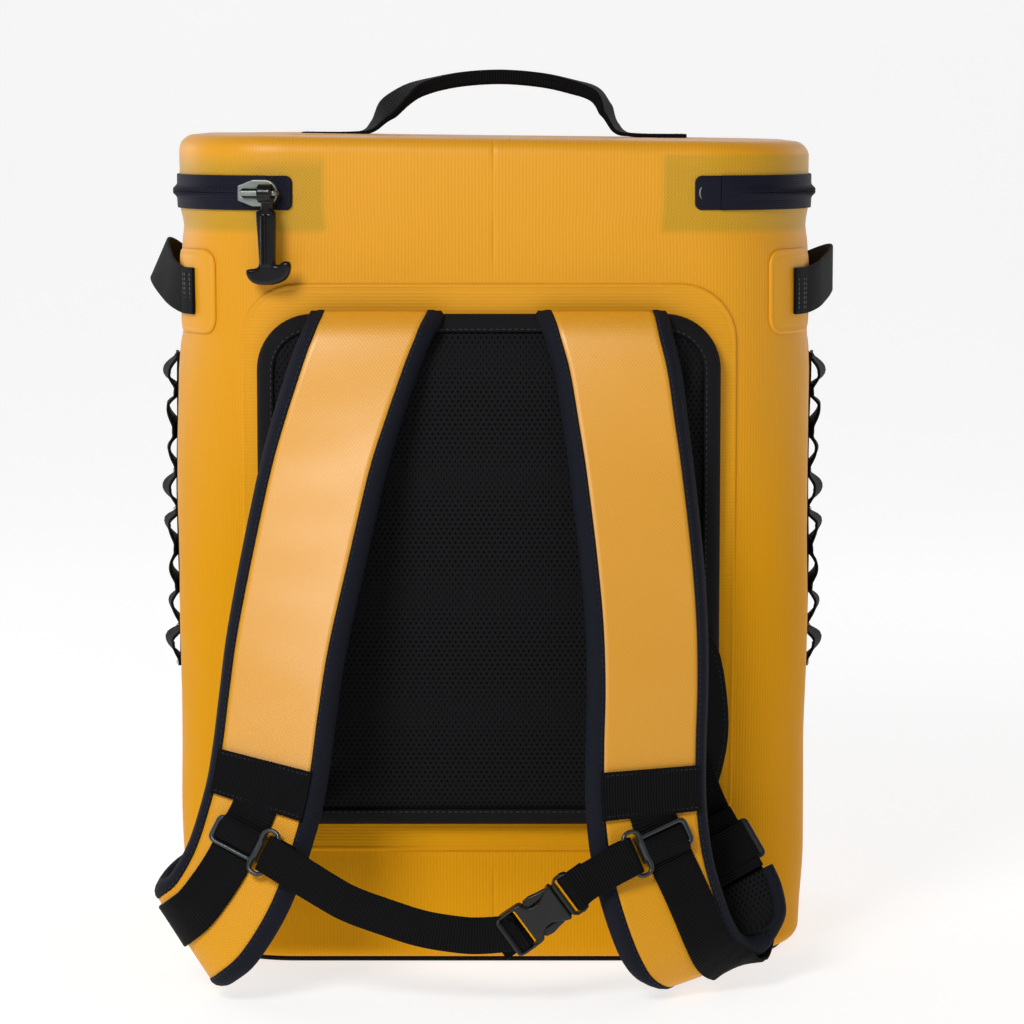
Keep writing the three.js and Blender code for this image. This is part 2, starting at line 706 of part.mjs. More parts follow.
function strapLayer(frames, halfWidth, low, high) {
  return loft(frames.map((frame) => [[-1, low], [1, low], [1, high], [-1, high]]
    .map(([edge, lift]) => stripPoint(frame, edge * halfWidth, lift(frame)))));
}

function buildStrap(name) {
  const last = strapTables[name].length - 1;
  const padFrames = strapFrames(name, 0, last);
  const flatHalf = strapWidth / 2 - bindingWidth;
  const pad = loft(padFrames.map((frame) => {
    const core = frame.thick * strapThickness / 2;
    const rim = Math.min(strapEdge / 2, core * 0.9);
    const corners = [
      [-strapWidth / 2, rim], [-strapWidth / 2, -rim], [-flatHalf, -core], [flatHalf, -core],
      [strapWidth / 2, -rim], [strapWidth / 2, rim], [flatHalf, core], [-flatHalf, core],
    ];
    return corners.map(([across, lift]) => stripPoint(frame, across, lift));
  }));
  addMesh(`strap_pad_${name}`, pad, blackMesh);

  const face = strapLayer(strapFrames(name, 0.05, last - 0.1), flatHalf - clearance, faceLow, faceHigh);
  addMesh(`strap_face_${name}`, face, yellowFace);

  const { start, end } = bandRows[name];
  const band = strapLayer(strapFrames(name, start, end), flatHalf - clearance, railLow, railHigh);
  addMesh(`strap_band_${name}`, band, blackWebbing);

  buildLowerWebbing(name, last);
  buildChestSlider(name);
}

// A loop of webbing round a bar, in a frame whose x runs towards the bar. It goes over the bar
// and back under it.
function loopRoute(barHalf, thickness, tail) {
  const gap = barHalf * Math.SQRT2 + 2 * clearance + thickness / 2;
  const bend = [90, 54, 18, -18, -54, -90].map((angle) => [
    gap * Math.cos(radians(angle)),
    gap * Math.sin(radians(angle)),
  ]);
  return [...bend, [-tail, -gap]];
}

// The webbing that leaves the band, follows the strap round its fold and holds the ladder lock
function buildLowerWebbing(name, last) {
  const { end } = bandRows[name];
  const from = end + 0.03;
  const to = last - 0.1;
  const places = strapPlaces(from, to);
  const railFrames = strapFrames(name, from, to);
  const tail = curveFrame(name, to);
  const hand = name === 'left' ? -1 : 1;
  const points = railFrames.map((frame, k) => stripPoint(
    frame,
    railMiddle(name, places[k]),
    (railLow(frame) + railHigh(frame)) / 2,
  ));
  const sides = railFrames.map((frame) => frame.side);

  // The lock lies past the strap's end, in the strap's own plane
  const endMiddle = railMiddle(name, to);
  const rise = tail.thick * strapThickness / 2;
  const square = tail.along.clone().addScaledVector(tail.side, -tail.along.dot(tail.side)).normalize();
  const lockCentre = stripPoint(tail, endMiddle, 0).addScaledVector(square, rise + lockLength / 2 + 3);
  const axes = new THREE.Matrix4().makeBasis(tail.side, square, tail.side.clone().cross(square));
  const lockFrame = axes.clone().setPosition(lockCentre);
  const windowLength = (lockLength - 3 * barWidth) / 2;
  let lockSolid = toSolid(plate(roundedOutline(lockWidth, lockLength, 3), lockThickness));
  [-1, 1].forEach((place) => {
    const middle = place * (windowLength + barWidth) / 2;
    lockSolid = lockSolid.subtract(toSolid(block(webbingWidth + 2, windowLength, 2 * lockThickness, 0, middle)));
  });
  addMesh(`ladder_lock_${name}`, fromSolid(lockSolid), blackPlastic).applyMatrix4(lockFrame);

  // The loop round the lock's near bar; the bar's own middle is half a bar in from its edge
  const barHalf = Math.max(lockThickness, barWidth) / 2;
  const across = axes.clone();
  const outwards = new THREE.Vector3().setFromMatrixColumn(across, 2);
  const faceSide = Math.sign(outwards.dot(tail.normal));
  const nearBar = lockCentre.clone().addScaledVector(square, -(lockLength - barWidth) / 2);
  loopRoute(barHalf, webbingThickness, 6).forEach(([x, y]) => {
    points.push(nearBar.clone().addScaledVector(square, x).addScaledVector(outwards, faceSide * y));
    sides.push(tail.side);
  });
  addMesh(`strap_rail_${name}`, flatStrip(frameList(points, sides), webbingWidth, webbingThickness), blackWebbing);

  // The anchor tab beside the back panel, and the webbing that runs from it to the lock
  const tab = anchorTab(name, hand);
  const farBar = lockCentre.clone().addScaledVector(square, (lockLength - barWidth) / 2);
  const route = loopRoute(barHalf, webbingThickness, 10).reverse()
    .map(([x, y]) => farBar.clone().addScaledVector(square, -x).addScaledVector(outwards, faceSide * y));
  const routeSides = route.map(() => tail.side);
  const reach = tab.end.clone().sub(route[route.length - 1]);
  [0.3, 0.62, 0.86, 1].forEach((share) => {
    const sag = Math.sin(share * Math.PI) * webbingWidth * 0.12;
    route.push(route[6].clone().addScaledVector(reach, share).addScaledVector(up, -sag));
    routeSides.push(tail.side.clone().lerp(tab.side, share));
  });
  addMesh(`lower_webbing_${name}`, flatStrip(frameList(route, routeSides), webbingWidth, webbingThickness), blackWebbing);
}

// The tab's outline as shares of the panel's half width and height, from its upper corner
const tabRows = [
  { across: 0.86, up: 0.376 },
  { across: 0.99, up: 0.360 },
  { across: 1.045, up: 0.205 },
  { across: 1.00, up: 0.085 },
  { across: 0.93, up: 0.050 },
  { across: 0.74, up: 0.060 },
  { across: 0.76, up: 0.210 },
];

function anchorTab(name, hand) {
  const outline = new THREE.Shape(tabRows.map((row) => new THREE.Vector2(
    hand * row.across * panelWidth / 2,
    panelBottom + row.up * (panelTop - panelBottom),
  )));
  const seat = panelBack + panelThickness + clearance;
  const tab = plate(outline, wingThickness).rotateX(Math.PI / 2);
  tab.translate(harnessShift, faceY - seat - wingThickness / 2, 0);
  addMesh(`anchor_tab_${name}`, tab, blackCloth);
  const front = faceY - seat - wingThickness - clearance - webbingThickness / 2;
  return {
    end: new THREE.Vector3(
      harnessShift + hand * 0.86 * panelWidth / 2,
      front,
      panelBottom + 0.13 * (panelTop - panelBottom),
    ),
    side: new THREE.Vector3(Math.cos(radians(20)), 0, hand * Math.sin(radians(20))),
  };
}

// The slider that rides on the strap's webbing, with a ring for the chest strap

const chestRings = {};

function buildChestSlider(name) {
  const hand = name === 'left' ? -1 : 1;
  const at = sliderRows[name];
  const onFace = (place) => {
    const frame = strapFrame(name, place);
    return stripPoint(frame, railMiddle(name, place), faceHigh(frame));
  };
  const normal = strapFrame(name, at).normal.clone().normalize();
  const upward = onFace(at - 0.3).sub(onFace(at + 0.3));
  upward.addScaledVector(normal, -upward.dot(normal)).normalize();
  const side = upward.clone().cross(normal);
  const centre = onFace(at).addScaledVector(normal, 2 * clearance);
  const matrix = new THREE.Matrix4().makeBasis(side, upward, normal);
  matrix.setPosition(centre);
  const inside = webbingThickness + 4 * clearance;
  const height = inside + clipThickness;
  const top = block(clipWidth, clipLength, clipThickness, 0, 0, inside + clipThickness / 2);
  const legWidth = (clipWidth - webbingWidth) / 2 - 2 * clearance;
  const legs = [-1, 1].map((edge) => block(
    legWidth,
    clipLength,
    height,
    edge * (clipWidth - legWidth) / 2,
    0,
    height / 2,
  ));
  const ringOutline = roundedOutline(ringReach + 4, chestWidth + 2 * barWidth + 1, 4);
  const window = roundedOutline(ringReach + 4 - 2 * barWidth, chestWidth + 2, 0.6);
  ringOutline.holes.push(new THREE.Path(window.getPoints(2)));
  const ringMiddle = -hand * (clipWidth / 2 + ringReach / 2 - 2);
  const ringLevel = inside + clipThickness;
  const ring = plate(ringOutline, ringThickness, 3).translate(ringMiddle, 0, ringLevel);
  let solid = toSolid(top).add(toSolid(ring));
  legs.forEach((leg) => { solid = solid.add(toSolid(leg)); });
  const slider = addMesh(`chest_slider_${name}`, fromSolid(solid), blackPlastic);
  slider.applyMatrix4(matrix);
  const bar = new THREE.Vector3(-hand * (clipWidth / 2 + ringReach - barWidth / 2), 0, ringLevel);
  chestRings[name] = {
    bar: bar.applyMatrix4(matrix),
    inward: side.clone().multiplyScalar(-hand),
    out: normal,
    side: upward,
  };
}

// The chest strap hangs between the two rings, with the fastened buckle right of its middle.
// across is a share of half the body's width and up of its height.
const chestRoutes = {
  left: [
    { across: -0.500, up: 0.134 },
    { across: -0.425, up: 0.116 },
    { across: -0.320, up: 0.100 },
    { across: -0.215, up: 0.087 },
    { across: -0.110, up: 0.0805 },
    { across: -0.045, up: 0.0795 },
  ],
  right: [
    { across: 0.290, up: 0.153 },
  ],
};
const buckleMiddle = { across: 0.139, up: 0.110 };
const chestOut = 1.19;

function buildBuckle() {
  const slant = radians(buckleSlant);
  const middle = new THREE.Vector3(
    buckleMiddle.across * bodyWidth / 2,
    faceY - chestOut * strapReach,
    buckleMiddle.up * bodyHeight,
  );
  const along = new THREE.Vector3(Math.cos(slant), 0, Math.sin(slant));
  const across = new THREE.Vector3(-Math.sin(slant), 0, Math.cos(slant));
  const matrix = new THREE.Matrix4().makeBasis(along, across, along.clone().cross(across));
  matrix.setPosition(middle);
  const joint = buckleLength * 0.14;
  const slotLength = 2 * (chestThickness + 2 * clearance) + 1.2;
  const femaleLength = buckleLength / 2 + joint;
  const maleLength = buckleLength / 2 - joint - clearance;
  const pocketDepth = femaleLength * 0.5;
  const slotWidth = chestWidth + 1.2;
  const slotPlace = buckleLength / 2 - barWidth - slotLength / 2;

  const female = plate(roundedOutline(femaleLength, buckleWidth, 5), buckleThickness, 4)
    .translate(joint - femaleLength / 2, 0, 0);
  const femaleCuts = [
    block(slotLength, slotWidth, 2 * buckleThickness, -slotPlace),
    block(2 * pocketDepth, buckleWidth * 0.72, buckleThickness * 0.55, joint),
    block(pocketDepth * 0.5, 2 * buckleWidth, buckleThickness * 0.4, joint - pocketDepth * 0.6),
  ];
  const cheeks = [-1, 1].map((edge) => block(
    2 * barWidth,
    slotWidth * 2,
    buckleThickness,
    -buckleLength / 2,
    0,
    edge * (buckleThickness / 2 + barWidth / 2),
  ));
  let femaleSolid = toSolid(female);
  [...femaleCuts, ...cheeks].forEach((cut) => { femaleSolid = femaleSolid.subtract(toSolid(cut)); });

  const male = plate(roundedOutline(maleLength, buckleWidth, 3.5), buckleThickness * 0.8, 4)
    .translate(joint + clearance + maleLength / 2, 0, 0);
  const tongue = block(
    pocketDepth + maleLength / 2 - clearance,
    buckleWidth * 0.72 - 2 * clearance,
    buckleThickness * 0.55 - 2 * clearance,
    joint + (maleLength / 2 - pocketDepth + clearance) / 2,
  );
  const maleCut = block(slotLength, slotWidth, 2 * buckleThickness, slotPlace);
  const maleCheeks = [-1, 1].map((edge) => block(
    2 * barWidth,
    slotWidth * 2,
    buckleThickness,
    buckleLength / 2,
    0,
    edge * (buckleThickness / 2 + barWidth / 2),
  ));
  let maleSolid = toSolid(male).add(toSolid(tongue)).subtract(toSolid(maleCut));
  maleCheeks.forEach((cut) => { maleSolid = maleSolid.subtract(toSolid(cut)); });

  addMesh('buckle_female', fromSolid(femaleSolid), blackPlastic).applyMatrix4(matrix);
  addMesh('buckle_male', fromSolid(maleSolid), blackPlastic).applyMatrix4(matrix);
  const barPlace = (buckleLength - barWidth) / 2;
  const bars = {};
  [['left', -1], ['right', 1]].forEach(([name, hand]) => {
    bars[name] = {
      bar: middle.clone().addScaledVector(along, hand * barPlace),
      inward: along.clone().multiplyScalar(-hand),
      side: across.clone(),
    };
  });
  return bars;
}

function buildChestStrap(name, buckleBars) {
  const ring = chestRings[name];
  const buckle = buckleBars[name];
  const harnessward = new THREE.Vector3(0, 1, 0);
  const barHalf = barWidth / 2;
  const points = [];
  const sides = [];
  loopRoute(barHalf, chestThickness, 9).reverse().forEach(([x, y]) => {
    points.push(ring.bar.clone().addScaledVector(ring.inward, -x).addScaledVector(ring.out, y));
    sides.push(ring.side);
  });
  const routed = chestRoutes[name].map((row) => new THREE.Vector3(
    row.across * bodyWidth / 2,
    faceY - chestOut * strapReach,
    row.up * bodyHeight,
  ));
  routed.forEach((point) => {
    points.push(point);
    sides.push(null);
  });
  loopRoute(barHalf, chestThickness, 10).forEach(([x, y]) => {
    points.push(buckle.bar.clone().addScaledVector(buckle.inward, x).addScaledVector(harnessward, -y));
    sides.push(buckle.side);
  });
  sides.forEach((side, k) => {
    if (side) return;
    const run = points[k + 1].clone().sub(points[k - 1]);
    sides[k] = new THREE.Vector3(-run.z, 0, run.x).normalize();
    if (sides[k].z < 0) sides[k].negate();
  });
  addMesh(`chest_strap_${name}`, flatStrip(frameList(points, sides), chestWidth, chestThickness), blackWebbing);
}

// The top handle: webbing with flat sewn ends and a middle that is folded double. across is a
// share of half its span, up of its rise, wide of the way from grip to webbing width, and
// thick of the way from webbing to grip thickness.
const handleRows = [
  { across: -1.00, up: 0.00, wide: 1.0, thick: 0.0, lean: 0 },
  { across: -0.85, up: 0.00, wide: 1.0, thick: 0.0, lean: 0 },
  { across: -0.70, up: 0.02, wide: 1.0, thick: 0.0, lean: 0 },
  { across: -0.63, up: 0.14, wide: 1.0, thick: 0.0, lean: 14 },
  { across: -0.56, up: 0.42, wide: 0.9, thick: 0.2, lean: 28 },
  { across: -0.46, up: 0.68, wide: 0.5, thick: 0.6, lean: 14 },
  { across: -0.36, up: 0.80, wide: 0.1, thick: 1.0, lean: 6 },
  { across: -0.18, up: 0.95, wide: 0.0, thick: 1.0, lean: 0 },
  { across: 0.03, up: 1.00, wide: 0.0, thick: 1.0, lean: 0 },
  { across: 0.24, up: 0.95, wide: 0.0, thick: 1.0, lean: 0 },
  { across: 0.40, up: 0.84, wide: 0.0, thick: 1.0, lean: 4 },
  { across: 0.52, up: 0.71, wide: 0.3, thick: 0.8, lean: 12 },
  { across: 0.58, up: 0.44, wide: 0.9, thick: 0.2, lean: 28 },
  { across: 0.63, up: 0.14, wide: 1.0, thick: 0.0, lean: 14 },
  { across: 0.70, up: 0.02, wide: 1.0, thick: 0.0, lean: 0 },
  { across: 0.85, up: 0.00, wide: 1.0, thick: 0.0, lean: 0 },
  { across: 1.00, up: 0.00, wide: 1.0, thick: 0.0, lean: 0 },
];

function buildTopHandle() {
  const steps = 2 * (handleRows.length - 1);
  const samples = Array.from({ length: steps + 1 }, (_, k) => {
    const row = {};
    Object.keys(handleRows[0]).forEach((key) => {
      row[key] = smooth(handleRows.map((entry) => entry[key]), k / 2);
    });
    return row;
  });
  const flat = bodyHeight + lidCrown + clearance + handleThickness / 2;
  const points = samples.map((row) => new THREE.Vector3(
    row.across * handleSpan / 2,
    0,
    flat + Math.max(row.up, 0) * handleRise,
  ));
  const sides = samples.map((row) => new THREE.Vector3(0, Math.cos(radians(row.lean)), Math.sin(radians(row.lean))));
  const rings = frameList(points, sides).map((frame, k) => {
    const row = samples[k];
    const half = (gripWidth + Math.max(row.wide, 0) * (webbingWidth - gripWidth)) / 2;
    const core = (handleThickness + Math.max(row.thick, 0) * (gripThickness - handleThickness)) / 2;
    const corner = Math.min(core * 0.6, 1.5);
    const corners = [
      [-half, -core + corner], [-half + corner, -core], [half - corner, -core], [half, -core + corner],
      [half, core - corner], [half - corner, core], [-half + corner, core], [-half, core - corner],
    ];
    return corners.map(([across, lift]) => stripPoint(frame, across, lift));
  });
  addMesh('top_handle', loft(rings), blackWebbing);
}

// A side handle: a strip of webbing along the side, sewn down at both ends on small patches

// How far each handle's middle lifts, and how far its top leans outwards, in degrees
const sideHandleTwist = { left: { lift: 14, lean: -22 }, right: { lift: 6, lean: 0 } };

function buildSideHandle(name) {
  const side = name === 'left' ? -1 : 1;
  const open = wallFlat + wallArc + wallSide / 2 - sideHandleSpan / 2;
  const close = open + sideHandleSpan;
  const low = sideHandleLevel - sidePatchHeight / 2;
  const high = sideHandleLevel + sidePatchHeight / 2;
  [['front', open + sidePatchMargin - sidePatchLength], ['rear', close - sidePatchMargin]].forEach(([place, from]) => {
    const skin = wallSkin(side, from, from + sidePatchLength, low, high, clearance, skinThickness, 8);
    addMesh(`side_patch_${name}_${place}`, skin, yellowFace);
  });
  const seat = 2 * clearance + skinThickness + webbingThickness / 2;
  const spanSteps = 10;
  const spanStops = Array.from({ length: spanSteps - 1 }, (_, k) => open + sideHandleSpan * (k + 1) / spanSteps);
  const stops = [...wallStops(open - sideTabLength, open), ...spanStops, ...wallStops(close, close + sideTabLength)];
  const rise = stops.map((along) => {
    const share = Math.min(Math.max((along - open) / sideHandleSpan, 0), 1);
    return Math.sin(Math.PI * share) ** 2 * 0.4 + Math.sin(Math.PI * share) * 0.6;
  });
  const twist = sideHandleTwist[name];
  const points = stops.map((along, k) => {
    const { point } = wallPoint(sideHandleLevel, side, along, seat + rise[k] * sideHandleReach);
    return point.addScaledVector(up, rise[k] * twist.lift);
  });
  const sides = rise.map((share) => new THREE.Vector3(side * Math.tan(radians(twist.lean)) * share, 0, 1));
  const frames = frameList(points, sides);
  addMesh(`side_handle_${name}`, flatStrip(frames, webbingWidth, webbingThickness), blackWebbing);
}

// A daisy chain: webbing sewn to a backing strip at equal steps, so that it stands in loops

function buildDaisyChain(name) {
  const side = name === 'left' ? -1 : 1;
  const middle = wallFlat + wallArc + wallSide / 2;
  const skin = wallSkin(
    side,
    middle - daisyPatchWidth / 2,
    middle + daisyPatchWidth / 2,
    daisyBottom - daisyPatchMargin,
    daisyTop + daisyPatchMargin,
    clearance,
    skinThickness,
    9,
  );
  addMesh(`daisy_patch_${name}`, skin, yellowFace);

  const pitch = (daisyTop - daisyBottom) / daisyLoops;
  const base = 2 * clearance + skinThickness;
  const arch = (share) => Math.sin(Math.PI * share) ** 0.75;
  const wallX = (level) => wallPoint(level, 1, middle, 0).point.x;
  const outline = new THREE.Shape();
  const shares = [0, 0.12, 0.3, 0.5, 0.7, 0.88];
  outline.moveTo(wallX(daisyBottom) + base, daisyBottom);
  const back = [daisyTop];
  drawRows.map((row) => row.up * bodyHeight).filter((level) => level > daisyBottom && level < daisyTop)
    .forEach((level) => back.unshift(level));
  back.forEach((level) => outline.lineTo(wallX(level) + base, level));
  for (let k = daisyLoops - 1; k >= 0; k -= 1) {
    [1, ...shares.slice(1).reverse()].forEach((share) => {
      const level = daisyBottom + (k + share) * pitch;
      outline.lineTo(wallX(level) + base + 2 * webbingThickness + daisyReach * arch(share), level);
    });
  }
  outline.lineTo(wallX(daisyBottom) + base + 2 * webbingThickness, daisyBottom);
  let chain = toSolid(plate(outline, webbingWidth));
  for (let k = 0; k < daisyLoops; k += 1) {
    const from = daisyBottom + k * pitch + daisyTack / 2;
    const length = pitch - daisyTack;
    const near = [from, from + length].map((level) => new THREE.Vector2(
      wallX(level) + base + webbingThickness,
      level,
    ));
    const far = shares.slice(1).map((share) => new THREE.Vector2(
      wallX(from + share * length) + base + webbingThickness + daisyReach * arch(share) * 0.97,
      from + share * length,
    )).reverse();
    chain = chain.subtract(toSolid(plate(new THREE.Shape([...near, ...far]), 2 * webbingWidth)));
  }
  const mesh = addMesh(`daisy_chain_${name}`, fromSolid(chain).rotateX(Math.PI / 2), blackWebbing);
  mesh.position.y = wallPoint(daisyTop, 1, middle, 0).point.y;
  if (side < 0) mesh.rotation.z = Math.PI;
}

buildBody();
buildLid();
buildBasePanel();
buildZip();
buildSlider();
buildHarnessFace();
['left', 'right'].forEach((name) => buildStrap(name));
const buckleBars = buildBuckle();
['left', 'right'].forEach((name) => buildChestStrap(name, buckleBars));
buildTopHandle();
['left', 'right'].forEach((name) => {
  buildSideHandle(name);
  buildDaisyChain(name);
});

export default bag;
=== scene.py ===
"""The looks of a yellow and black cooler backpack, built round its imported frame.

Lengths in this file are millimetres until a mesh is made, where they become metres. +X is to
the right of someone who looks at the harness, +Y runs from the harness to the outer face, and
+Z is up. Each mesh has a UV map named cloth that holds millimetres on the cloth, so that weaves
and ribs have their real size.
"""

import math
from collections import namedtuple

import bmesh
import bpy
import numpy as np
from mathutils import Matrix, Vector


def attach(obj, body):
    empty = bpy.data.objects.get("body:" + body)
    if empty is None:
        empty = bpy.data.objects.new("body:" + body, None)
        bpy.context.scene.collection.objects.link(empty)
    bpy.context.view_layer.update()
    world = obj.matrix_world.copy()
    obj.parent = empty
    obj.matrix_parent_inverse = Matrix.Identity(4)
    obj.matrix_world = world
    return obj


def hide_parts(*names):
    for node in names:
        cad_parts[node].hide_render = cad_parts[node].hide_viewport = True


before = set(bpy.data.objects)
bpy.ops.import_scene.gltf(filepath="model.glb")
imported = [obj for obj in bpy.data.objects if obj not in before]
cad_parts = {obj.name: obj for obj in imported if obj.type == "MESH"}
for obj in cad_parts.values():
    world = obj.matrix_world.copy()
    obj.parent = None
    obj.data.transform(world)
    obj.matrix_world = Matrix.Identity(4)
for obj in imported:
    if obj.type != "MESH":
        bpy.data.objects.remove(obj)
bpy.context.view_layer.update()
MM = 0.001
BAG = "bag"
PULL = "pull"

# The body, its lid and the zip
BODY_WIDTH = 354.0
BODY_DEPTH = 225.0
BODY_HEIGHT = 460.0
CORNER_RADIUS = 64.0
WALL_THICKNESS = 22.0
FLOOR_THICKNESS = 24.0
WALL_DRAW = 3.0
BOTTOM_ROUND = 8.0
INNER_ROUND = 12.0
LID_ROUND = 9.0
LID_CROWN = 0.4
LID_THICKNESS = 20.0
BASE_PANEL = 3.0
CLEARANCE = 0.3
ZIP_LEVEL = 430.5
ZIP_WIDTH = 18.8
ZIP_THICKNESS = 1.3
COIL_WIDTH = 5.0
COIL_PROUD = 2.2
ZIP_HALF_OPENING = 110.0
DOCK_LENGTH = 14.0
DOCK_THICKNESS = 3.2
SLIDER_LENGTH = 21.0
SLIDER_WIDTH = 14.5
SLIDER_THICKNESS = 3.0
BRIDGE_WIDTH = 2.6
BRIDGE_RISE = 4.2
EYE_RADIUS = 5.2
EYE_BORE = 2.4
EYE_WIDTH = 6.5
PULL_REACH = 46.0
PULL_STEM = 10.4
PULL_BAR = 25.0
PULL_BAR_HEIGHT = 9.0
PULL_BAR_SLANT = 9.0
PULL_THICKNESS = 5.0
WELD_REACH = 20.5
WELD_START = 91.0

# The harness face
PATCH_WIDTH = 274.0
PATCH_BOTTOM = 65.0
PATCH_TOP = 381.0
PATCH_RADIUS = 31.0
SKIN = 1.2
HARNESS_SHIFT = -2.7
PANEL_WIDTH = 253.0
PANEL_BOTTOM = 82.0
PANEL_TOP = 364.0
PANEL_RADIUS = 30.0
PANEL_THICKNESS = 12.0

# The straps and what they carry
STRAP_WIDTH = 68.0
STRAP_THICKNESS = 11.0
STRAP_EDGE = 4.6
BINDING = 8.0
STRAP_REACH = 86.0
FACE_THICKNESS = 1.0
WEBBING_WIDTH = 26.0
WEBBING_THICKNESS = 1.7
RAIL_SHIFT = {"left": -9.0, "right": 13.0}
LOCK_WIDTH = 36.0
LOCK_LENGTH = 24.0
LOCK_THICKNESS = 3.0
BAR_WIDTH = 3.0
WING_THICKNESS = 2.4
CHEST_WIDTH = 20.0
CHEST_THICKNESS = 1.4
CLIP_WIDTH = 31.0
CLIP_LENGTH = 16.0
CLIP_THICKNESS = 2.2
RING_REACH = 8.0
RING_THICKNESS = 3.0
BUCKLE_LENGTH = 45.0
BUCKLE_WIDTH = 24.0
BUCKLE_THICKNESS = 9.0
BUCKLE_SLANT = 36.0

# The handles and the daisy chains
HANDLE_SPAN = 221.0
HANDLE_RISE = 33.1
HANDLE_THICKNESS = 2.2
GRIP_THICKNESS = 8.5
GRIP_WIDTH = 14.0
SIDE_HANDLE_LEVEL = 375.5
SIDE_HANDLE_SPAN = 146.0
SIDE_HANDLE_REACH = 15.0
SIDE_PATCH_HEIGHT = 47.0
SIDE_PATCH_LENGTH = 44.0
SIDE_PATCH_MARGIN = 9.0
SIDE_TAB_LENGTH = 14.0
DAISY_BOTTOM = 154.0
DAISY_TOP = 336.0
DAISY_LOOPS = 8
DAISY_REACH = 6.0
DAISY_PATCH_WIDTH = 48.0
DAISY_PATCH_MARGIN = 14.0

FRONT = -BODY_DEPTH / 2
FLAT = BODY_WIDTH / 2 - CORNER_RADIUS
ARC = CORNER_RADIUS * math.pi / 2
SIDE = BODY_DEPTH - 2 * CORNER_RADIUS
HALF_GIRTH = 2 * FLAT + 2 * ARC + SIDE
SIDE_MIDDLE = FLAT + ARC + SIDE / 2
UP = np.array([0.0, 0.0, 1.0])


# Small vector helpers

def vec(x, y, z):
    return np.array([x, y, z], float)


def unit(v):
    v = np.asarray(v, float)
    return v / np.maximum(np.linalg.norm(v, axis=-1, keepdims=True), 1e-9)


def ease(t):
    t = np.clip(t, 0.0, 1.0)
    return t * t * (3 - 2 * t)


def hermite(values, at):
    """A smooth curve through evenly numbered values, at fractional places."""
    values = np.asarray(values, float)
    last = len(values) - 1
    at = np.clip(np.asarray(at, float), 0, last)
    k = np.minimum(np.floor(at).astype(int), last - 1)
    t = (at - k)
    if values.ndim > 1:
        t = t[..., None]
    p0 = values[np.maximum(k - 1, 0)]
    p1 = values[k]
    p2 = values[k + 1]
    p3 = values[np.minimum(k + 2, last)]
    m1 = (p2 - p0) / 2
    m2 = (p3 - p1) / 2
    t2 = t * t
    t3 = t2 * t
    return (2 * t3 - 3 * t2 + 1) * p1 + (t3 - 2 * t2 + t) * m1 + (3 * t2 - 2 * t3) * p2 + (t3 - t2) * m2


# Meshes from grids of points

def grid_mesh(name, grids, merge=0.002, sharp=None):
    """One mesh in metres from grids (points, cloth coordinates, weld), all in mm."""
    points, cloths, welds, faces = [], [], [], []
    start = 0
    for grid in grids:
        co, uv = np.asarray(grid[0], float), np.asarray(grid[1], float)
        weld = grid[2] if len(grid) > 2 else np.zeros(co.shape[:2])
        rows, columns = co.shape[:2]
        index = start + np.arange(rows * columns).reshape(rows, columns)
        quads = np.stack([index[:-1, :-1], index[:-1, 1:], index[1:, 1:], index[1:, :-1]], -1)
        faces.append(quads.reshape(-1, 4))
        points.append(co.reshape(-1, 3))
        cloths.append(uv.reshape(-1, 2))
        welds.append(np.broadcast_to(weld, co.shape[:2]).reshape(-1))
        start += rows * columns
    points, faces = np.concatenate(points) * MM, np.concatenate(faces)
    mesh = bpy.data.meshes.new(name)
    mesh.from_pydata(points.tolist(), [], faces.tolist())
    layer = mesh.uv_layers.new(name="cloth")
    layer.uv.foreach_set("vector", np.concatenate(cloths)[faces.ravel()].astype(np.float32).ravel())
    weld = mesh.attributes.new("weld", "FLOAT", "POINT")
    weld.data.foreach_set("value", np.concatenate(welds).astype(np.float32))
    clean(mesh, merge * MM)
    mesh.shade_smooth()
    if sharp is not None:
        mesh.set_sharp_from_angle(angle=math.radians(sharp))
    obj = bpy.data.objects.new(name, mesh)
    bpy.context.scene.collection.objects.link(obj)
    return obj


def clean(mesh, merge):
    work = bmesh.new()
    work.from_mesh(mesh)
    bmesh.ops.remove_doubles(work, verts=work.verts, dist=merge)
    bmesh.ops.dissolve_degenerate(work, edges=work.edges, dist=merge / 2)
    bmesh.ops.recalc_face_normals(work, faces=work.faces)
    work.to_mesh(mesh)
    work.free()


def lengths(co, axis):
    """Distances along one axis of a grid of points, averaged over the other."""
    steps = np.linalg.norm(np.diff(co, axis=axis), axis=-1).mean(axis=1 - axis)
    return np.concatenate([[0.0], np.cumsum(steps)])


def tube_grids(rings, caps=True):
    """Grids of a closed body through rings. Cloth coordinates are mm round and mm along."""
    rings = np.asarray(rings, float)
    closed = np.concatenate([rings, rings[:, :1]], axis=1)
    u, v = np.meshgrid(lengths(closed, 1), lengths(closed, 0))
    grids = [(closed, np.stack([u, v], -1))]
    if caps:
        for row in (0, -1):
            hub = np.repeat(closed[row].mean(0, keepdims=True), closed.shape[1], 0)
            cap = np.stack([closed[row], hub])
            grids.append((cap, np.stack([u[row], v[row]], -1)[None].repeat(2, 0)))
    return grids


def piece(obj, material, body=BAG, replaces=()):
    """Gives a finished object its material, its body and the nodes it stands for."""
    obj.data.materials.clear()
    obj.data.materials.append(material)
    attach(obj, body)
    if replaces:
        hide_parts(*replaces)
    return obj


# Strips that follow a line, such as webbing

Frame = namedtuple("Frame", "centre side normal")


def frames_along(points, sides):
    points, sides = np.asarray(points, float), unit(sides)
    along = unit(np.gradient(points, axis=0))
    sides = unit(sides - along * (along * sides).sum(-1, keepdims=True))
    return [Frame(p, s, np.cross(a, s)) for p, a, s in zip(points, along, sides)]


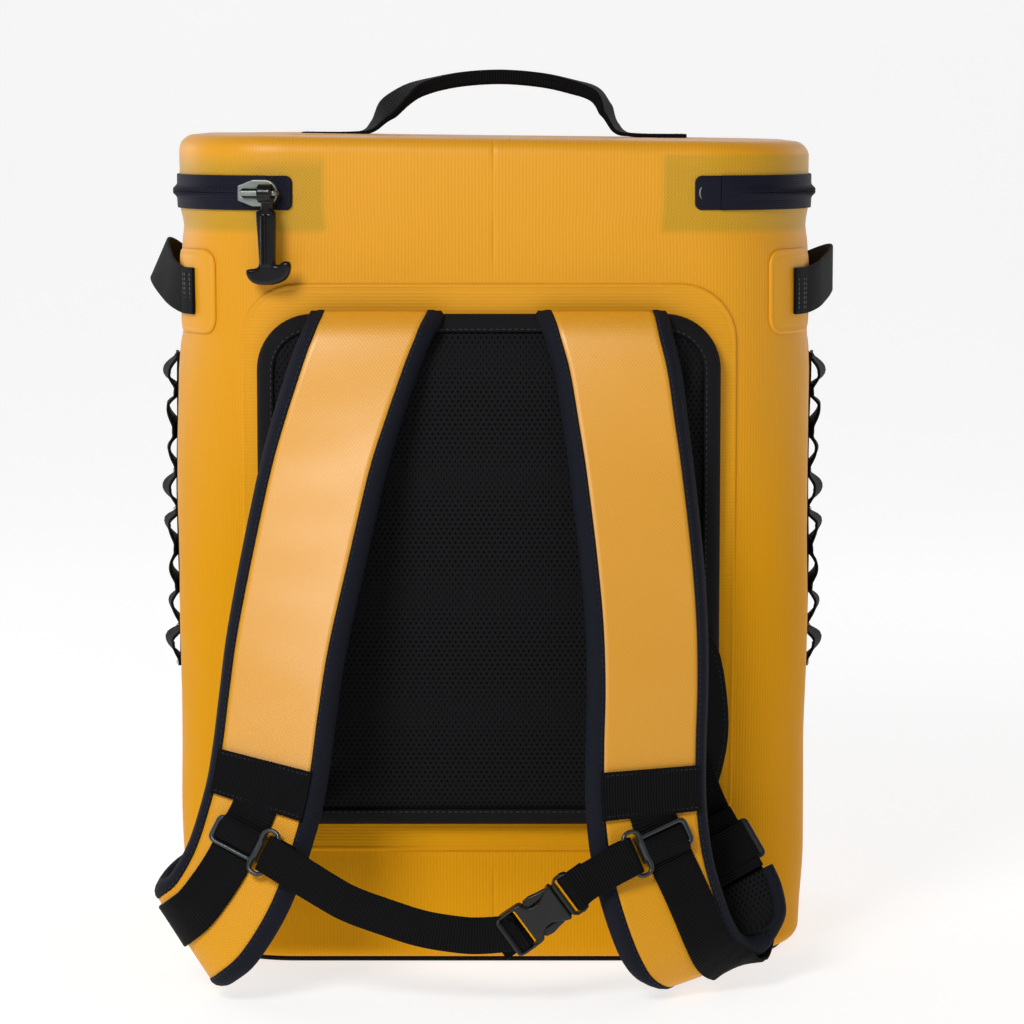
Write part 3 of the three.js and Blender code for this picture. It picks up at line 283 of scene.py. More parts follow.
def resample(points, sides, step):
    """Puts a point about every step mm on the smooth line through the points."""
    points, sides = np.asarray(points, float), np.asarray(sides, float)
    spans = np.linalg.norm(np.diff(points, axis=0), axis=-1)
    places = [0.0]
    for k, span in enumerate(spans):
        count = max(int(math.ceil(span / step)), 1)
        places += [k + (i + 1) / count for i in range(count)]
    return hermite(points, np.array(places)), hermite(sides, np.array(places))


def web_section(width, thickness, crown=0.0):
    """A webbing's section: flat faces, and selvedges that are a little thinner and round."""
    half, core = width / 2, thickness / 2
    top = [(half * a, core * (1.0 + crown * (1 - a * a))) for a in np.linspace(-0.94, 0.94, 9)]
    right = [(half * 0.985, core * 0.62), (half, 0.0), (half * 0.985, -core * 0.62)]
    bottom = [(-a, -b) for a, b in top]
    left = [(-a, -b) for a, b in right]
    return np.array(top + right + bottom + left)


def strip_rings(frames, section):
    rings = []
    for k, f in enumerate(frames):
        shape = section(k) if callable(section) else section
        rings.append(f.centre + shape[:, :1] * f.side + shape[:, 1:] * f.normal)
    return np.array(rings)


def webbing_grids(points, sides, width, thickness, step=1.5, crown=0.0):
    points, sides = resample(points, sides, step)
    return tube_grids(strip_rings(frames_along(points, sides), web_section(width, thickness, crown)))


def stitch_grids(points, directions, normals, length=2.4, width=0.7, sink=0.1):
    """A row of stitches, each a small grain of thread that lies on the cloth."""
    turns = np.linspace(0, 2 * math.pi, 7)
    spans = np.array([-1.0, -0.7, 0.0, 0.7, 1.0])
    swell = np.array([0.0, 0.8, 1.0, 0.8, 0.0])
    grids = []
    for p, d, n in zip(points, unit(directions), unit(normals)):
        across = np.cross(n, d)
        ring = np.cos(turns)[:, None] * across + 0.7 * np.sin(turns)[:, None] * n
        co = (p - n * sink)[None, None] + spans[:, None, None] * d * length / 2
        co = co + swell[:, None, None] * ring[None] * width / 2
        u, v = np.meshgrid(turns, spans)
        grids.append((co, np.stack([u, v], -1)))
    return grids


def stitch_line(points, normals, pitch=3.4, **kind):
    """Stitches at equal steps along a line of points."""
    points, normals = np.asarray(points, float), np.asarray(normals, float)
    run = np.concatenate([[0.0], np.cumsum(np.linalg.norm(np.diff(points, axis=0), axis=-1))])
    at = np.arange(pitch / 2, run[-1], pitch)
    places = np.stack([np.interp(at, run, points[:, i]) for i in range(3)], -1)
    ahead = np.stack([np.interp(at + 0.5, run, points[:, i]) for i in range(3)], -1)
    behind = np.stack([np.interp(at - 0.5, run, points[:, i]) for i in range(3)], -1)
    facing = np.stack([np.interp(at, run, normals[:, i]) for i in range(3)], -1)
    return stitch_grids(places, ahead - behind, facing, **kind)


# Plates and moulded parts, made in mm and put in place at the end

def plate(outlines, thickness, bevel=0.5, steps=2):
    """A flat part with rounded edges, from closed outlines across X and Y. Later ones are holes."""
    curve = bpy.data.curves.new("plate", "CURVE")
    curve.dimensions = "2D"
    curve.fill_mode = "BOTH"
    curve.extrude = thickness / 2 - bevel
    curve.bevel_depth = bevel
    curve.bevel_resolution = steps
    curve.offset = -bevel
    for outline in outlines:
        spline = curve.splines.new("POLY")
        spline.points.add(len(outline) - 1)
        for point, (x, y) in zip(spline.points, outline):
            point.co = (x, y, 0.0, 1.0)
        spline.use_cyclic_u = True
    obj = bpy.data.objects.new("plate", curve)
    bpy.context.scene.collection.objects.link(obj)
    bpy.context.view_layer.update()
    mesh = bpy.data.meshes.new_from_object(obj.evaluated_get(bpy.context.evaluated_depsgraph_get()))
    bpy.data.objects.remove(obj)
    return mesh


def moved(mesh, matrix):
    mesh.transform(matrix)
    return mesh


def rod(radius, length, axis="Z", sides=20):
    mesh = bpy.data.meshes.new("rod")
    work = bmesh.new()
    bmesh.ops.create_cone(work, segments=sides, radius1=radius, radius2=radius, depth=length, cap_ends=True)
    work.to_mesh(mesh)
    work.free()
    turn = {"X": Matrix.Rotation(math.pi / 2, 4, "Y"), "Y": Matrix.Rotation(math.pi / 2, 4, "X"), "Z": Matrix()}
    return moved(mesh, turn[axis])


def fused(name, meshes, matrix, voxel=0.0, smooth=0, cuts=()):
    """Joins meshes made in mm into one moulded body and puts it in place in metres."""
    joined = bmesh.new()
    for mesh in meshes:
        joined.from_mesh(mesh)
    bmesh.ops.remove_doubles(joined, verts=joined.verts, dist=0.01)
    bmesh.ops.recalc_face_normals(joined, faces=joined.faces)
    mesh = bpy.data.meshes.new(name)
    joined.to_mesh(mesh)
    joined.free()
    obj = bpy.data.objects.new(name, mesh)
    bpy.context.scene.collection.objects.link(obj)
    if voxel:
        remesh = obj.modifiers.new("remesh", "REMESH")
        remesh.mode = "VOXEL"
        remesh.voxel_size = voxel
    helpers = []
    for cutter in cuts:
        helper = bpy.data.objects.new("cutter", cutter)
        bpy.context.scene.collection.objects.link(helper)
        helpers.append(helper)
        cut = obj.modifiers.new("cut", "BOOLEAN")
        cut.object = helper
        cut.solver = "EXACT"
        cut.operation = "DIFFERENCE"
    if smooth:
        soften = obj.modifiers.new("smooth", "SMOOTH")
        soften.iterations = smooth
        soften.factor = 0.5
    bpy.context.view_layer.update()
    final = bpy.data.meshes.new_from_object(obj.evaluated_get(bpy.context.evaluated_depsgraph_get()))
    final.name = name
    obj.modifiers.clear()
    obj.data = final
    for helper in helpers:
        bpy.data.objects.remove(helper)
    final.transform(Matrix.Diagonal((MM, MM, MM, 1.0)) @ matrix)
    final.shade_smooth()
    final.set_sharp_from_angle(angle=math.radians(42))
    return obj


def basis(x, y, z, origin):
    """A placing matrix in mm from three axes and an origin."""
    rows = np.eye(4)
    rows[:3, 0], rows[:3, 1], rows[:3, 2], rows[:3, 3] = x, y, z, origin
    return Matrix(rows.tolist())


def rounded(width, height, radius, steps=6, x=0.0, y=0.0):
    corners = [(1, 1), (-1, 1), (-1, -1), (1, -1)]
    outline = []
    for quarter, (sx, sy) in enumerate(corners):
        for k in range(steps + 1):
            angle = (quarter + k / steps) * math.pi / 2
            outline.append((
                x + sx * (width / 2 - radius) + radius * math.cos(angle),
                y + sy * (height / 2 - radius) + radius * math.sin(angle),
            ))
    return outline


# Materials

class Shader:
    """A material whose nodes are added one call at a time."""

    def __init__(self, name, colour, roughness, **settings):
        self.material = bpy.data.materials.new(name)
        self.material.use_nodes = True
        self.tree = self.material.node_tree
        self.surface = self.tree.nodes["Principled BSDF"]
        self.set("Base Color", (*colour, 1.0))
        self.set("Roughness", roughness)
        for key, value in settings.items():
            self.set(key.replace("_", " "), value)

    def set(self, socket, value):
        self.join(self.surface.inputs[socket], value)

    def join(self, socket, value):
        if isinstance(value, bpy.types.NodeSocket):
            self.tree.links.new(value, socket)
        else:
            socket.default_value = value

    def node(self, kind, inputs=(), output=0, **settings):
        node = self.tree.nodes.new(kind)
        for key, value in settings.items():
            setattr(node, key, value)
        for key, value in dict(inputs).items():
            self.join(node.inputs[key], value)
        return node.outputs[output]

    def math(self, operation, a, b=0.0, c=0.0):
        return self.node("ShaderNodeMath", {0: a, 1: b, 2: c}, operation=operation)

    def cloth(self):
        """Millimetres across and along the cloth."""
        at = self.node("ShaderNodeUVMap", uv_map="cloth")
        parts = self.tree.nodes.new("ShaderNodeSeparateXYZ")
        self.tree.links.new(at, parts.inputs[0])
        return parts.outputs[0], parts.outputs[1]

    def wave(self, place, pitch, phase=0.0):
        """From 0 to 1 and back over each pitch."""
        turn = self.math("MULTIPLY_ADD", place, 2 * math.pi / pitch, phase)
        return self.math("MULTIPLY_ADD", self.math("SINE", turn), 0.5, 0.5)

    def noise(self, scale, detail=3.0, roughness=0.5):
        at = self.node("ShaderNodeTexCoord", output="Object")
        return self.node(
            "ShaderNodeTexNoise",
            {"Vector": at, "Scale": scale, "Detail": detail, "Roughness": roughness},
        )

    def upward(self, low, high, start, end):
        """From start to end between two heights in metres."""
        parts = self.tree.nodes.new("ShaderNodeSeparateXYZ")
        self.tree.links.new(self.node("ShaderNodeTexCoord", output="Object"), parts.inputs[0])
        return self.span(parts.outputs[2], low, high, start, end)

    def attribute(self, name):
        return self.node("ShaderNodeAttribute", attribute_name=name, output="Fac")

    def mix(self, factor, a, b):
        """Colour a where factor is 0 and b where it is 1."""
        node = self.tree.nodes.new("ShaderNodeMix")
        node.data_type = "RGBA"
        self.join(node.inputs["Factor"], factor)
        self.join(node.inputs[6], a if isinstance(a, bpy.types.NodeSocket) else (*a, 1.0))
        self.join(node.inputs[7], b if isinstance(b, bpy.types.NodeSocket) else (*b, 1.0))
        return node.outputs[2]

    def span(self, value, low, high, start=0.0, end=1.0):
        return self.node(
            "ShaderNodeMapRange",
            {"Value": value, "From Min": low, "From Max": high, "To Min": start, "To Max": end},
        )

    def bump(self, height, depth, under=None):
        """Tilts the surface by a height from 0 to 1 that stands for depth mm."""
        inputs = {"Height": height, "Distance": depth * MM, "Strength": 1.0}
        if under is not None:
            inputs["Normal"] = under
        return self.node("ShaderNodeBump", inputs)


YELLOW = (0.80, 0.355, 0.006)
DEEP_YELLOW = (0.63, 0.25, 0.002)
OLIVE = (0.40, 0.265, 0.001)
BLUSH = (1.0, 0.72, 0.6)


def coat_shader(name, rib_along, weld=False, rib_depth=1.0):
    """Coated yellow cloth. Its ribs lie across U, or across V where rib_along is 1. Its coat grows with height as a
    painted sheen, and its rib valleys carry painted shade.
    """
    shader = Shader(name, YELLOW, 0.5, Sheen_Weight=0.2, Sheen_Roughness=0.18, Specular_IOR_Level=0.04)
    shader.set("Sheen Tint", (*BLUSH, 1.0))
    shader.set("Coat Roughness", 0.45)
    # The glossy coat fades in between 0.22 m and 0.44 m up. This is a painted sheen, so that the pale reflection of the
    # key light shows only on the upper part.
    shader.set("Coat Weight", shader.upward(0.22, 0.44, 0.0, 0.85))
    places = shader.cloth()
    rib = shader.wave(places[rib_along], 1.85)
    thread = shader.wave(places[1 - rib_along], 1.1)
    broad = shader.noise(5.0, 2.0)
    fine = shader.noise(60.0, 4.0)
    # The rib valleys are painted darker than the crests. This is painted shade in the ribs, while the bump below gives
    # their relief.
    valley_shade = shader.math("SUBTRACT", 1.0, rib)
    colour = shader.mix(shader.math("MULTIPLY", valley_shade, 0.24 * rib_depth), YELLOW, DEEP_YELLOW)
    colour = shader.mix(shader.span(broad, 0.35, 0.7, 0.0, 0.25), colour, DEEP_YELLOW)
    height = shader.math("MULTIPLY_ADD", thread, 0.25, rib)
    if weld:
        amount = shader.attribute("weld")
        a = shader.math("ADD", places[0], places[1])
        b = shader.math("SUBTRACT", places[0], places[1])
        dots = shader.math("MULTIPLY", shader.wave(a, 2.0), shader.wave(b, 2.0))
        tint = shader.math("MULTIPLY_ADD", dots, 0.6, 0.4)
        colour = shader.mix(shader.math("MULTIPLY", amount, tint), colour, OLIVE)
        pressed = shader.math("MULTIPLY", dots, amount)
        height = shader.math("MULTIPLY_ADD", pressed, -1.2, height)
    shader.set("Base Color", colour)
    shader.set("Roughness", shader.span(fine, 0.3, 0.7, 0.44, 0.56))
    shader.set("Normal", shader.bump(height, 0.10 * rib_depth, shader.bump(fine, 0.12)))
    return shader.material


def face_shader():
    """The smoother yellow cloth of the straps, with a fine diagonal weave and a painted sheen that is kept off the
    straps' low ends.
    """
    shader = Shader("strap_cloth", YELLOW, 0.42, Coat_Roughness=0.42, Specular_IOR_Level=0.3)
    shader.set("Coat IOR", 1.7)
    # The glossy coat is off below 0.10 m and full above 0.13 m. This is a painted sheen, kept off the low ends of the
    # straps.
    shader.set("Coat Weight", shader.upward(0.10, 0.13, 0.0, 1.0))
    u, v = shader.cloth()
    weave = shader.math(
        "MULTIPLY",
        shader.wave(shader.math("ADD", u, v), 1.9),
        shader.wave(shader.math("SUBTRACT", u, v), 1.9),
    )
    fine = shader.noise(90.0, 4.0)
    colour = shader.mix(shader.math("MULTIPLY", weave, 0.45), YELLOW, DEEP_YELLOW)
    shader.set("Base Color", colour)
    shader.set("Roughness", shader.span(fine, 0.3, 0.7, 0.42, 0.54))
    shader.set("Normal", shader.bump(weave, 0.14, shader.bump(fine, 0.1)))
    return shader.material


def mesh_shader():
    """Black spacer mesh with rows of small holes."""
    shader = Shader("spacer_mesh", (0.012, 0.012, 0.013), 0.85, Specular_IOR_Level=0.06)
    u, v = shader.cloth()
    rows = shader.wave(v, 2.6)
    left = shader.wave(shader.math("MULTIPLY_ADD", v, 0.62, u), 3.1)
    right = shader.wave(shader.math("MULTIPLY_ADD", v, -0.62, u), 3.1)
    total = shader.math("ADD", shader.math("ADD", left, right), shader.math("MULTIPLY", rows, 0.6))
    hole = shader.span(total, 1.75, 2.2)
    fine = shader.noise(700.0, 2.0)
    colour = shader.mix(hole, (0.010, 0.010, 0.011), (0.002, 0.002, 0.0025))
    shader.set("Base Color", colour)
    height = shader.math("MULTIPLY_ADD", fine, 0.25, shader.math("SUBTRACT", 1.0, hole))
    shader.set("Normal", shader.bump(height, 0.7))
    return shader.material


def twill_shader(name, colour, pitch=1.6, slope=1.0):
    """A tape with diagonal lines."""
    shader = Shader(name, colour, 0.75, Specular_IOR_Level=0.12)
    u, v = shader.cloth()
    line = shader.wave(shader.math("MULTIPLY_ADD", v, slope, u), pitch)
    fine = shader.noise(500.0, 2.0)
    pale = tuple(c * 1.7 + 0.002 for c in colour)
    shader.set("Base Color", shader.mix(line, colour, pale))
    shader.set("Normal", shader.bump(shader.math("MULTIPLY_ADD", fine, 0.4, line), 0.25))
    return shader.material


def web_shader():
    """Black webbing with ribs across its length."""
    shader = Shader("webbing_weave", (0.012, 0.012, 0.014), 0.65, Specular_IOR_Level=0.08)
    u, v = shader.cloth()
    rib = shader.wave(v, 1.55)
    grain = shader.wave(u, 0.9)
    fine = shader.noise(800.0, 2.0)
    height = shader.math("MULTIPLY_ADD", shader.math("MULTIPLY", rib, grain), 0.35, rib)
    height = shader.math("MULTIPLY_ADD", fine, 0.2, height)
    shader.set("Base Color", shader.mix(rib, (0.0025, 0.0025, 0.003), (0.0065, 0.0065, 0.0075)))
    shader.set("Normal", shader.bump(height, 0.3))
    return shader.material


def tape_shader():
    """The zip's navy-black tape with fine lines along it."""
    shader = Shader("zip_tape_cloth", (0.010, 0.011, 0.018), 0.6, Specular_IOR_Level=0.13)
    u, v = shader.cloth()
    line = shader.wave(u, 1.3)
    fine = shader.noise(400.0, 2.0)
    shader.set("Base Color", shader.mix(line, (0.005, 0.005, 0.013), (0.009, 0.009, 0.020)))
    shader.set("Normal", shader.bump(shader.math("MULTIPLY_ADD", fine, 0.3, line), 0.12))
    return shader.material


def moulded_shader(name, colour, roughness, metallic=0.0, specular=0.5):
    """Moulded plastic or cast metal with a faint grain."""
    shader = Shader(name, colour, roughness, Metallic=metallic, Specular_IOR_Level=specular)
    fine = shader.noise(260.0, 4.0)
    broad = shader.noise(30.0, 2.0)
    dark = tuple(c * 0.8 for c in colour)
    shader.set("Base Color", shader.mix(shader.span(broad, 0.35, 0.65), dark, colour))
    shader.set("Roughness", shader.span(fine, 0.3, 0.7, roughness * 0.85, roughness * 1.2))
    shader.set("Normal", shader.bump(fine, 0.05))
    return shader.material


COAT = coat_shader("coated_cloth", 0, weld=True)
PATCH_CLOTH = coat_shader("patch_cloth", 1, rib_depth=0.8)
SIDE_CLOTH = coat_shader("side_patch_cloth", 1, rib_depth=0.15)
FACE_CLOTH = face_shader()
MESH_CLOTH = mesh_shader()
BINDING_CLOTH = twill_shader("binding_twill", (0.006, 0.007, 0.012))
TAB_CLOTH = twill_shader("tab_twill", (0.005, 0.005, 0.006), 2.0)
WEB = web_shader()
TAPE = tape_shader()
GLOSS = moulded_shader("gloss_plastic", (0.003, 0.003, 0.003), 0.2, specular=0.32)
# The chest sliders are black plastic. This grey, partly metallic finish paints in the grey reflections on their bars.
REFLECTION_GREY = moulded_shader("painted_reflection_plastic", (0.07, 0.078, 0.082), 0.3, 0.7)
SATIN = moulded_shader("satin_plastic", (0.010, 0.0105, 0.010), 0.36, specular=0.35)
METAL = moulded_shader("cast_metal", (0.27, 0.30, 0.28), 0.4, 0.85)
THREAD = moulded_shader("thread", (0.020, 0.020, 0.024), 0.7)
PALE_THREAD = moulded_shader("pale_thread", (0.16, 0.16, 0.17), 0.7)


# The wall of the body and lid

DRAW_ROWS = [(0.00, 1.00), (0.14, 0.70), (0.40, 0.30), (0.70, 0.20), (0.875, 0.35), (0.895, 0.90), (0.915, 0.0), (1.0, 0.0)]


def draw_table():
    """The draw in mm at each mm of height, with its corners softened."""
    levels = np.arange(-30.0, BODY_HEIGHT + 31.0)
    ups, draws = zip(*DRAW_ROWS)
    draw = WALL_DRAW * np.interp(levels / BODY_HEIGHT, ups, draws)
    kernel = np.exp(-(np.arange(-9, 10) / 3.5) ** 2)
    return levels, np.convolve(np.pad(draw, 9, "edge"), kernel / kernel.sum(), "valid")


DRAW_LEVELS, DRAWS = draw_table()


def calm(level, s):
    """0 where a flat piece lies on the wall, and 1 on the free cloth."""
    beside = ease((np.abs(s - HARNESS_SHIFT) - PATCH_WIDTH / 2 - 2) / 22)
    above = ease((level - PATCH_TOP - 2) / 22)
    below = ease((PATCH_BOTTOM - 2 - level) / 22)
    zipped = ease((np.abs(level - ZIP_LEVEL) - ZIP_WIDTH / 2) / 10)
    foot = ease(level / 20)
    return np.maximum(beside, np.maximum(above, below)) * (0.25 + 0.75 * zipped) * foot


def relief(level, s):
    """How far the soft wall stands out or in, in mm."""
    broad = np.sin(0.019 * s + 0.023 * level + 0.6) * np.sin(0.011 * level - 0.014 * s + 1.1)
    folds = np.sin(0.045 * s - 0.034 * level + 2.0) * np.sin(0.027 * level + 0.4)
    fine = np.sin(0.11 * s + 0.05 * level) * np.sin(0.071 * level - 0.04 * s + 1.7)
    free = calm(level, s) * ease((HALF_GIRTH - np.abs(s)) / 40)
    side = np.clip(1 - ((np.abs(s) - SIDE_MIDDLE) / 105) ** 2, 0, 1) * ease(level / 60) * ease((372 - level) / 50)
    bulge = np.where(s < 0, 3.6, 2.4) * ease(side)
    seam = -0.55 * np.exp(-(s / 1.0) ** 2) * free
    rear_seam = -0.55 * np.exp(-((np.abs(s) - HALF_GIRTH) / 1.0) ** 2)
    return (0.9 * broad + 0.45 * folds + 0.12 * fine) * free + bulge + seam + rear_seam


def wall(level, s, lift=0.0, soft=True):
    """Points on the wall at heights and at distances s round it from the harness face's middle."""
    level, s, lift = np.broadcast_arrays(*(np.asarray(a, float) for a in (level, s, lift)))
    along, side = np.abs(s), np.where(s < 0, -1.0, 1.0)
    arc1, arc2 = FLAT + ARC, FLAT + ARC + SIDE
    angle = np.interp(along, [0, FLAT, arc1, arc2, arc2 + ARC], [0, 0, math.pi / 2, math.pi / 2, math.pi])
    front = angle <= math.pi / 2
    x = np.where(
        along < FLAT, along,
        np.where(along > arc2 + ARC, HALF_GIRTH - along, FLAT + CORNER_RADIUS * np.sin(angle)),
    )
    straight = np.clip(along - arc1, 0, SIDE)
    y = CORNER_RADIUS * (1 - np.cos(angle)) + straight
    y = np.where(front, y, CORNER_RADIUS * (1 - np.cos(angle)) + SIDE)
    draw = np.interp(level, DRAW_LEVELS, DRAWS)
    x = x * (1 - 2 * draw / BODY_WIDTH) * side
    y = FRONT + y * (1 - draw / BODY_DEPTH)
    out = lift + (relief(level, s) if soft else 0.0)
    droop = -0.011 * x * ease((level - ZIP_LEVEL - 14) / 12) if soft else 0.0
    return np.stack([x + side * np.sin(angle) * out, y - np.cos(angle) * out, level + droop], -1)


def wall_normal(s):
    along, side = np.abs(s), np.where(np.asarray(s) < 0, -1.0, 1.0)
    arc1, arc2 = FLAT + ARC, FLAT + ARC + SIDE
    angle = np.interp(along, [0, FLAT, arc1, arc2, arc2 + ARC], [0, 0, math.pi / 2, math.pi / 2, math.pi])
    return np.stack([side * np.sin(angle), -np.cos(angle), np.zeros_like(angle)], -1)


def girth_places(step=3.5):
    """Places round the wall, closer together at the seams."""
    near = np.array([-3.0, -2.0, -1.4, -0.9, -0.45, 0.0, 0.45, 0.9, 1.4, 2.0, 3.0])
    coarse = np.arange(4.0, HALF_GIRTH - 4.0, step)
    half = np.concatenate([near[near >= 0], coarse, HALF_GIRTH + near[near <= 0]])
    return np.concatenate([-half[::-1], half[1:]])


def weld_amount(level, s):
    """1 where the cloth is welded to the zip's tape, which leaves it darker and pressed."""
    inside = ease((WELD_REACH + 1.5 - np.abs(level - ZIP_LEVEL)) / 3)
    return inside * ease((np.abs(s) - WELD_START) / 3)


def hinged(s):
    """1 where the lid and the body are one piece of cloth, and 0 where the zip parts them."""
    return 1 - ease((np.abs(s) - ZIP_HALF_OPENING - 1) / 5)


def ring_grid(levels, insets, heights=None, s=None, hinge=None):
    """A grid of the wall's rings, each at a level, drawn in by an inset. A hinge closes the rim's edge."""
    s = girth_places() if s is None else s
    levels, insets = (np.asarray(a, float)[:, None] + 0 * s[None] for a in (levels, insets))
    if hinge is not None:
        near = hinged(s)[None] * (np.abs(levels - ZIP_LEVEL) < 0.5) * (insets < WALL_THICKNESS)
        levels = levels + (ZIP_LEVEL - levels) * near
        insets = insets * (1 - near)
    co = wall(levels, s[None], -insets)
    if heights is not None:
        co[..., 2] += np.asarray(heights, float)[:, None] - levels
    u = np.broadcast_to(s[None], co.shape[:2])
    run = np.cumsum(np.linalg.norm(np.diff(co, axis=0), axis=-1).mean(1))
    v = np.broadcast_to(np.concatenate([[0], run])[:, None] + levels[:1].mean(), co.shape[:2])
    return co, np.stack([u, v], -1), weld_amount(co[..., 2], u)


def flat_cap(ring, height):
    """Closes a ring with a level skin whose cloth coordinates are X and Y."""
    shares = np.linspace(1.0, 0.0, 14)[:, None, None]
    hub = np.array([0.0, 0.0, height])
    co = hub + shares * (ring[None] - hub)
    return co, co[..., :2].copy()


def build_body():
    bottom = BASE_PANEL + CLEARANCE
    top = ZIP_LEVEL - CLEARANCE / 2
    turn = np.linspace(0, math.pi / 2, 8)
    levels = list(bottom + BOTTOM_ROUND * (1 - np.cos(turn)))
    insets = list(BOTTOM_ROUND * (1 - np.sin(turn)))
    walls = np.arange(bottom + BOTTOM_ROUND + 4, top - 2, 4.0)
    levels += [*walls, top - 1.2, top - 0.3, top, top]
    insets += [*np.zeros(len(walls)), 0.0, 0.35, 1.2, WALL_THICKNESS]
    floor = bottom + FLOOR_THICKNESS
    inner = np.linspace(math.pi / 2, 0, 4)
    levels += [top - 60, top - 200, *(floor + INNER_ROUND * (1 - np.cos(inner)))]
    insets += [WALL_THICKNESS] * 2 + list(WALL_THICKNESS + INNER_ROUND * (1 - np.sin(inner)))
    skin = ring_grid(levels, insets, hinge=True)
    grids = [skin, flat_cap(skin[0][0], bottom), flat_cap(skin[0][-1], floor)]
    piece(grid_mesh("body_shell", grids, sharp=50), COAT, replaces=["body"])


def build_lid():
    bottom = ZIP_LEVEL + CLEARANCE / 2
    turn = np.linspace(math.pi / 2, 0, 12)
    levels = [bottom, bottom, bottom + 0.3, bottom + 1.2, bottom + 5, bottom + 9, bottom + 13]
    insets = [WALL_THICKNESS, 1.2, 0.35, 0.0, 0.0, 0.0, 0.0]
    levels += list(BODY_HEIGHT - LID_ROUND * (1 - np.cos(turn)))
    insets += list(LID_ROUND * (1 - np.sin(turn)))
    side = ring_grid(levels, insets, hinge=True)
    across = np.linspace(0, 1, 16)
    crown = BODY_HEIGHT + LID_CROWN * ease(across)
    inset = LID_ROUND + across * (CORNER_RADIUS - LID_ROUND - 2)
    top = ring_grid(np.full(16, BODY_HEIGHT), inset, crown)
    top_cloth = top[0][..., :2].copy()
    ceiling = BODY_HEIGHT - LID_THICKNESS
    under = ring_grid(
        [bottom, ceiling - INNER_ROUND / 4, ceiling],
        [WALL_THICKNESS, WALL_THICKNESS + INNER_ROUND / 4, WALL_THICKNESS + INNER_ROUND],
    )
    grids = [side, (top[0], top_cloth), flat_cap(top[0][-1], BODY_HEIGHT + LID_CROWN), under,
             flat_cap(under[0][-1], ceiling)]
    piece(grid_mesh("lid_shell", grids, sharp=50), COAT, replaces=["lid"])


def build_base():
    """The black panel under the body, with a rounded rim."""
    s = girth_places(8.0)
    turn = np.linspace(-math.pi / 2, math.pi / 2, 7)
    half = BASE_PANEL / 2
    insets = BOTTOM_ROUND + 0.5 + half * (1 - np.cos(turn))
    rim = ring_grid(np.zeros(7), insets, half * (1 + np.sin(turn)), s)
    grids = [rim[:2], flat_cap(rim[0][0], 0.0), flat_cap(rim[0][-1], BASE_PANEL)]
    piece(grid_mesh("base_plate", grids), TAB_CLOTH, replaces=["base_panel"])


def outline_rings(width, height, radius, insets, steps=8):
    """Rounded rectangles, each drawn in by an inset, as (ring, point, 2) from their centre."""
    rings = []
    for inset in insets:
        corner = max(radius - inset, 0.4)
        x, y = width / 2 - inset - corner, height / 2 - inset - corner
        x, y = max(x, 0.0), max(y, 0.0)
        ring = []
        for quarter, (sx, sy) in enumerate([(1, 1), (-1, 1), (-1, -1), (1, -1)]):
            for k in range(steps + 1):
                angle = (quarter + k / steps) * math.pi / 2
                ring.append((sx * x + corner * math.cos(angle), sy * y + corner * math.sin(angle)))
            ex, ey = [(-1, 1), (-1, -1), (1, -1), (1, 1)][quarter]
            last, goal = ring[-1], None
            nx = ex * x + corner * math.cos((quarter + 1) * math.pi / 2)
            ny = ey * y + corner * math.sin((quarter + 1) * math.pi / 2)
            goal = (nx, ny)
            spans = 14
            ring += [(last[0] + (goal[0] - last[0]) * i / spans, last[1] + (goal[1] - last[1]) * i / spans)
                     for i in range(1, spans)]
        rings.append(ring + ring[:1])
    return np.array(rings)


def wall_patch(name, middle, level, width, height, radius, thickness, material, replaces, lift=CLEARANCE,
               bead=0.25, soft_centre=0.0):
    """A thin patch welded on the wall, with a fine raised bead just inside its rounded edge."""
    depth = min(width, height) / 2
    steps = [0.0, 0.12, 0.4, 0.8, 1.6, 2.3, 3.2, 4.2, 5.2]
    insets = np.array([i for i in steps if i < depth] + list(np.linspace(min(6.5, depth * 0.8), depth - 0.3, 12)))
    rise = thickness * np.clip(np.sqrt(np.clip(insets / 0.8, 0, 1)), 0.15, 1)
    rise = rise + bead * np.exp(-((insets - 1.6) / 0.7) ** 2) - bead * np.exp(-((insets - 3.2) / 0.8) ** 2)
    rise = rise + soft_centre * ease(insets / depth)
    rings = outline_rings(width, height, radius, insets)
    s, z = middle + rings[..., 0], level + rings[..., 1]
    top = wall(z, s, lift + rise[:, None])
    low = wall(z, s, lift)
    cloth = np.stack([s, z], -1)
    grids = [(top, cloth), (low, cloth), (np.stack([top[0], low[0]]), np.stack([cloth[0], cloth[0]]))]
    for skin in (top, low):
        grids.append((np.stack([skin[-1], np.repeat(skin[-1].mean(0)[None], len(skin[-1]), 0)]),
                      np.stack([cloth[-1], cloth[-1]])))
    piece(grid_mesh(name, grids), material, replaces=replaces)


def build_harness_patch():
    wall_patch(
        "harness_patch", HARNESS_SHIFT, (PATCH_BOTTOM + PATCH_TOP) / 2, PATCH_WIDTH, PATCH_TOP - PATCH_BOTTOM,
        PATCH_RADIUS, SKIN, PATCH_CLOTH, ["back_patch"],
    )


# The zip

DOCK_START = ZIP_HALF_OPENING
TAPE_START = DOCK_START + DOCK_LENGTH
SLIDER_ALONG = TAPE_START + SLIDER_LENGTH / 5


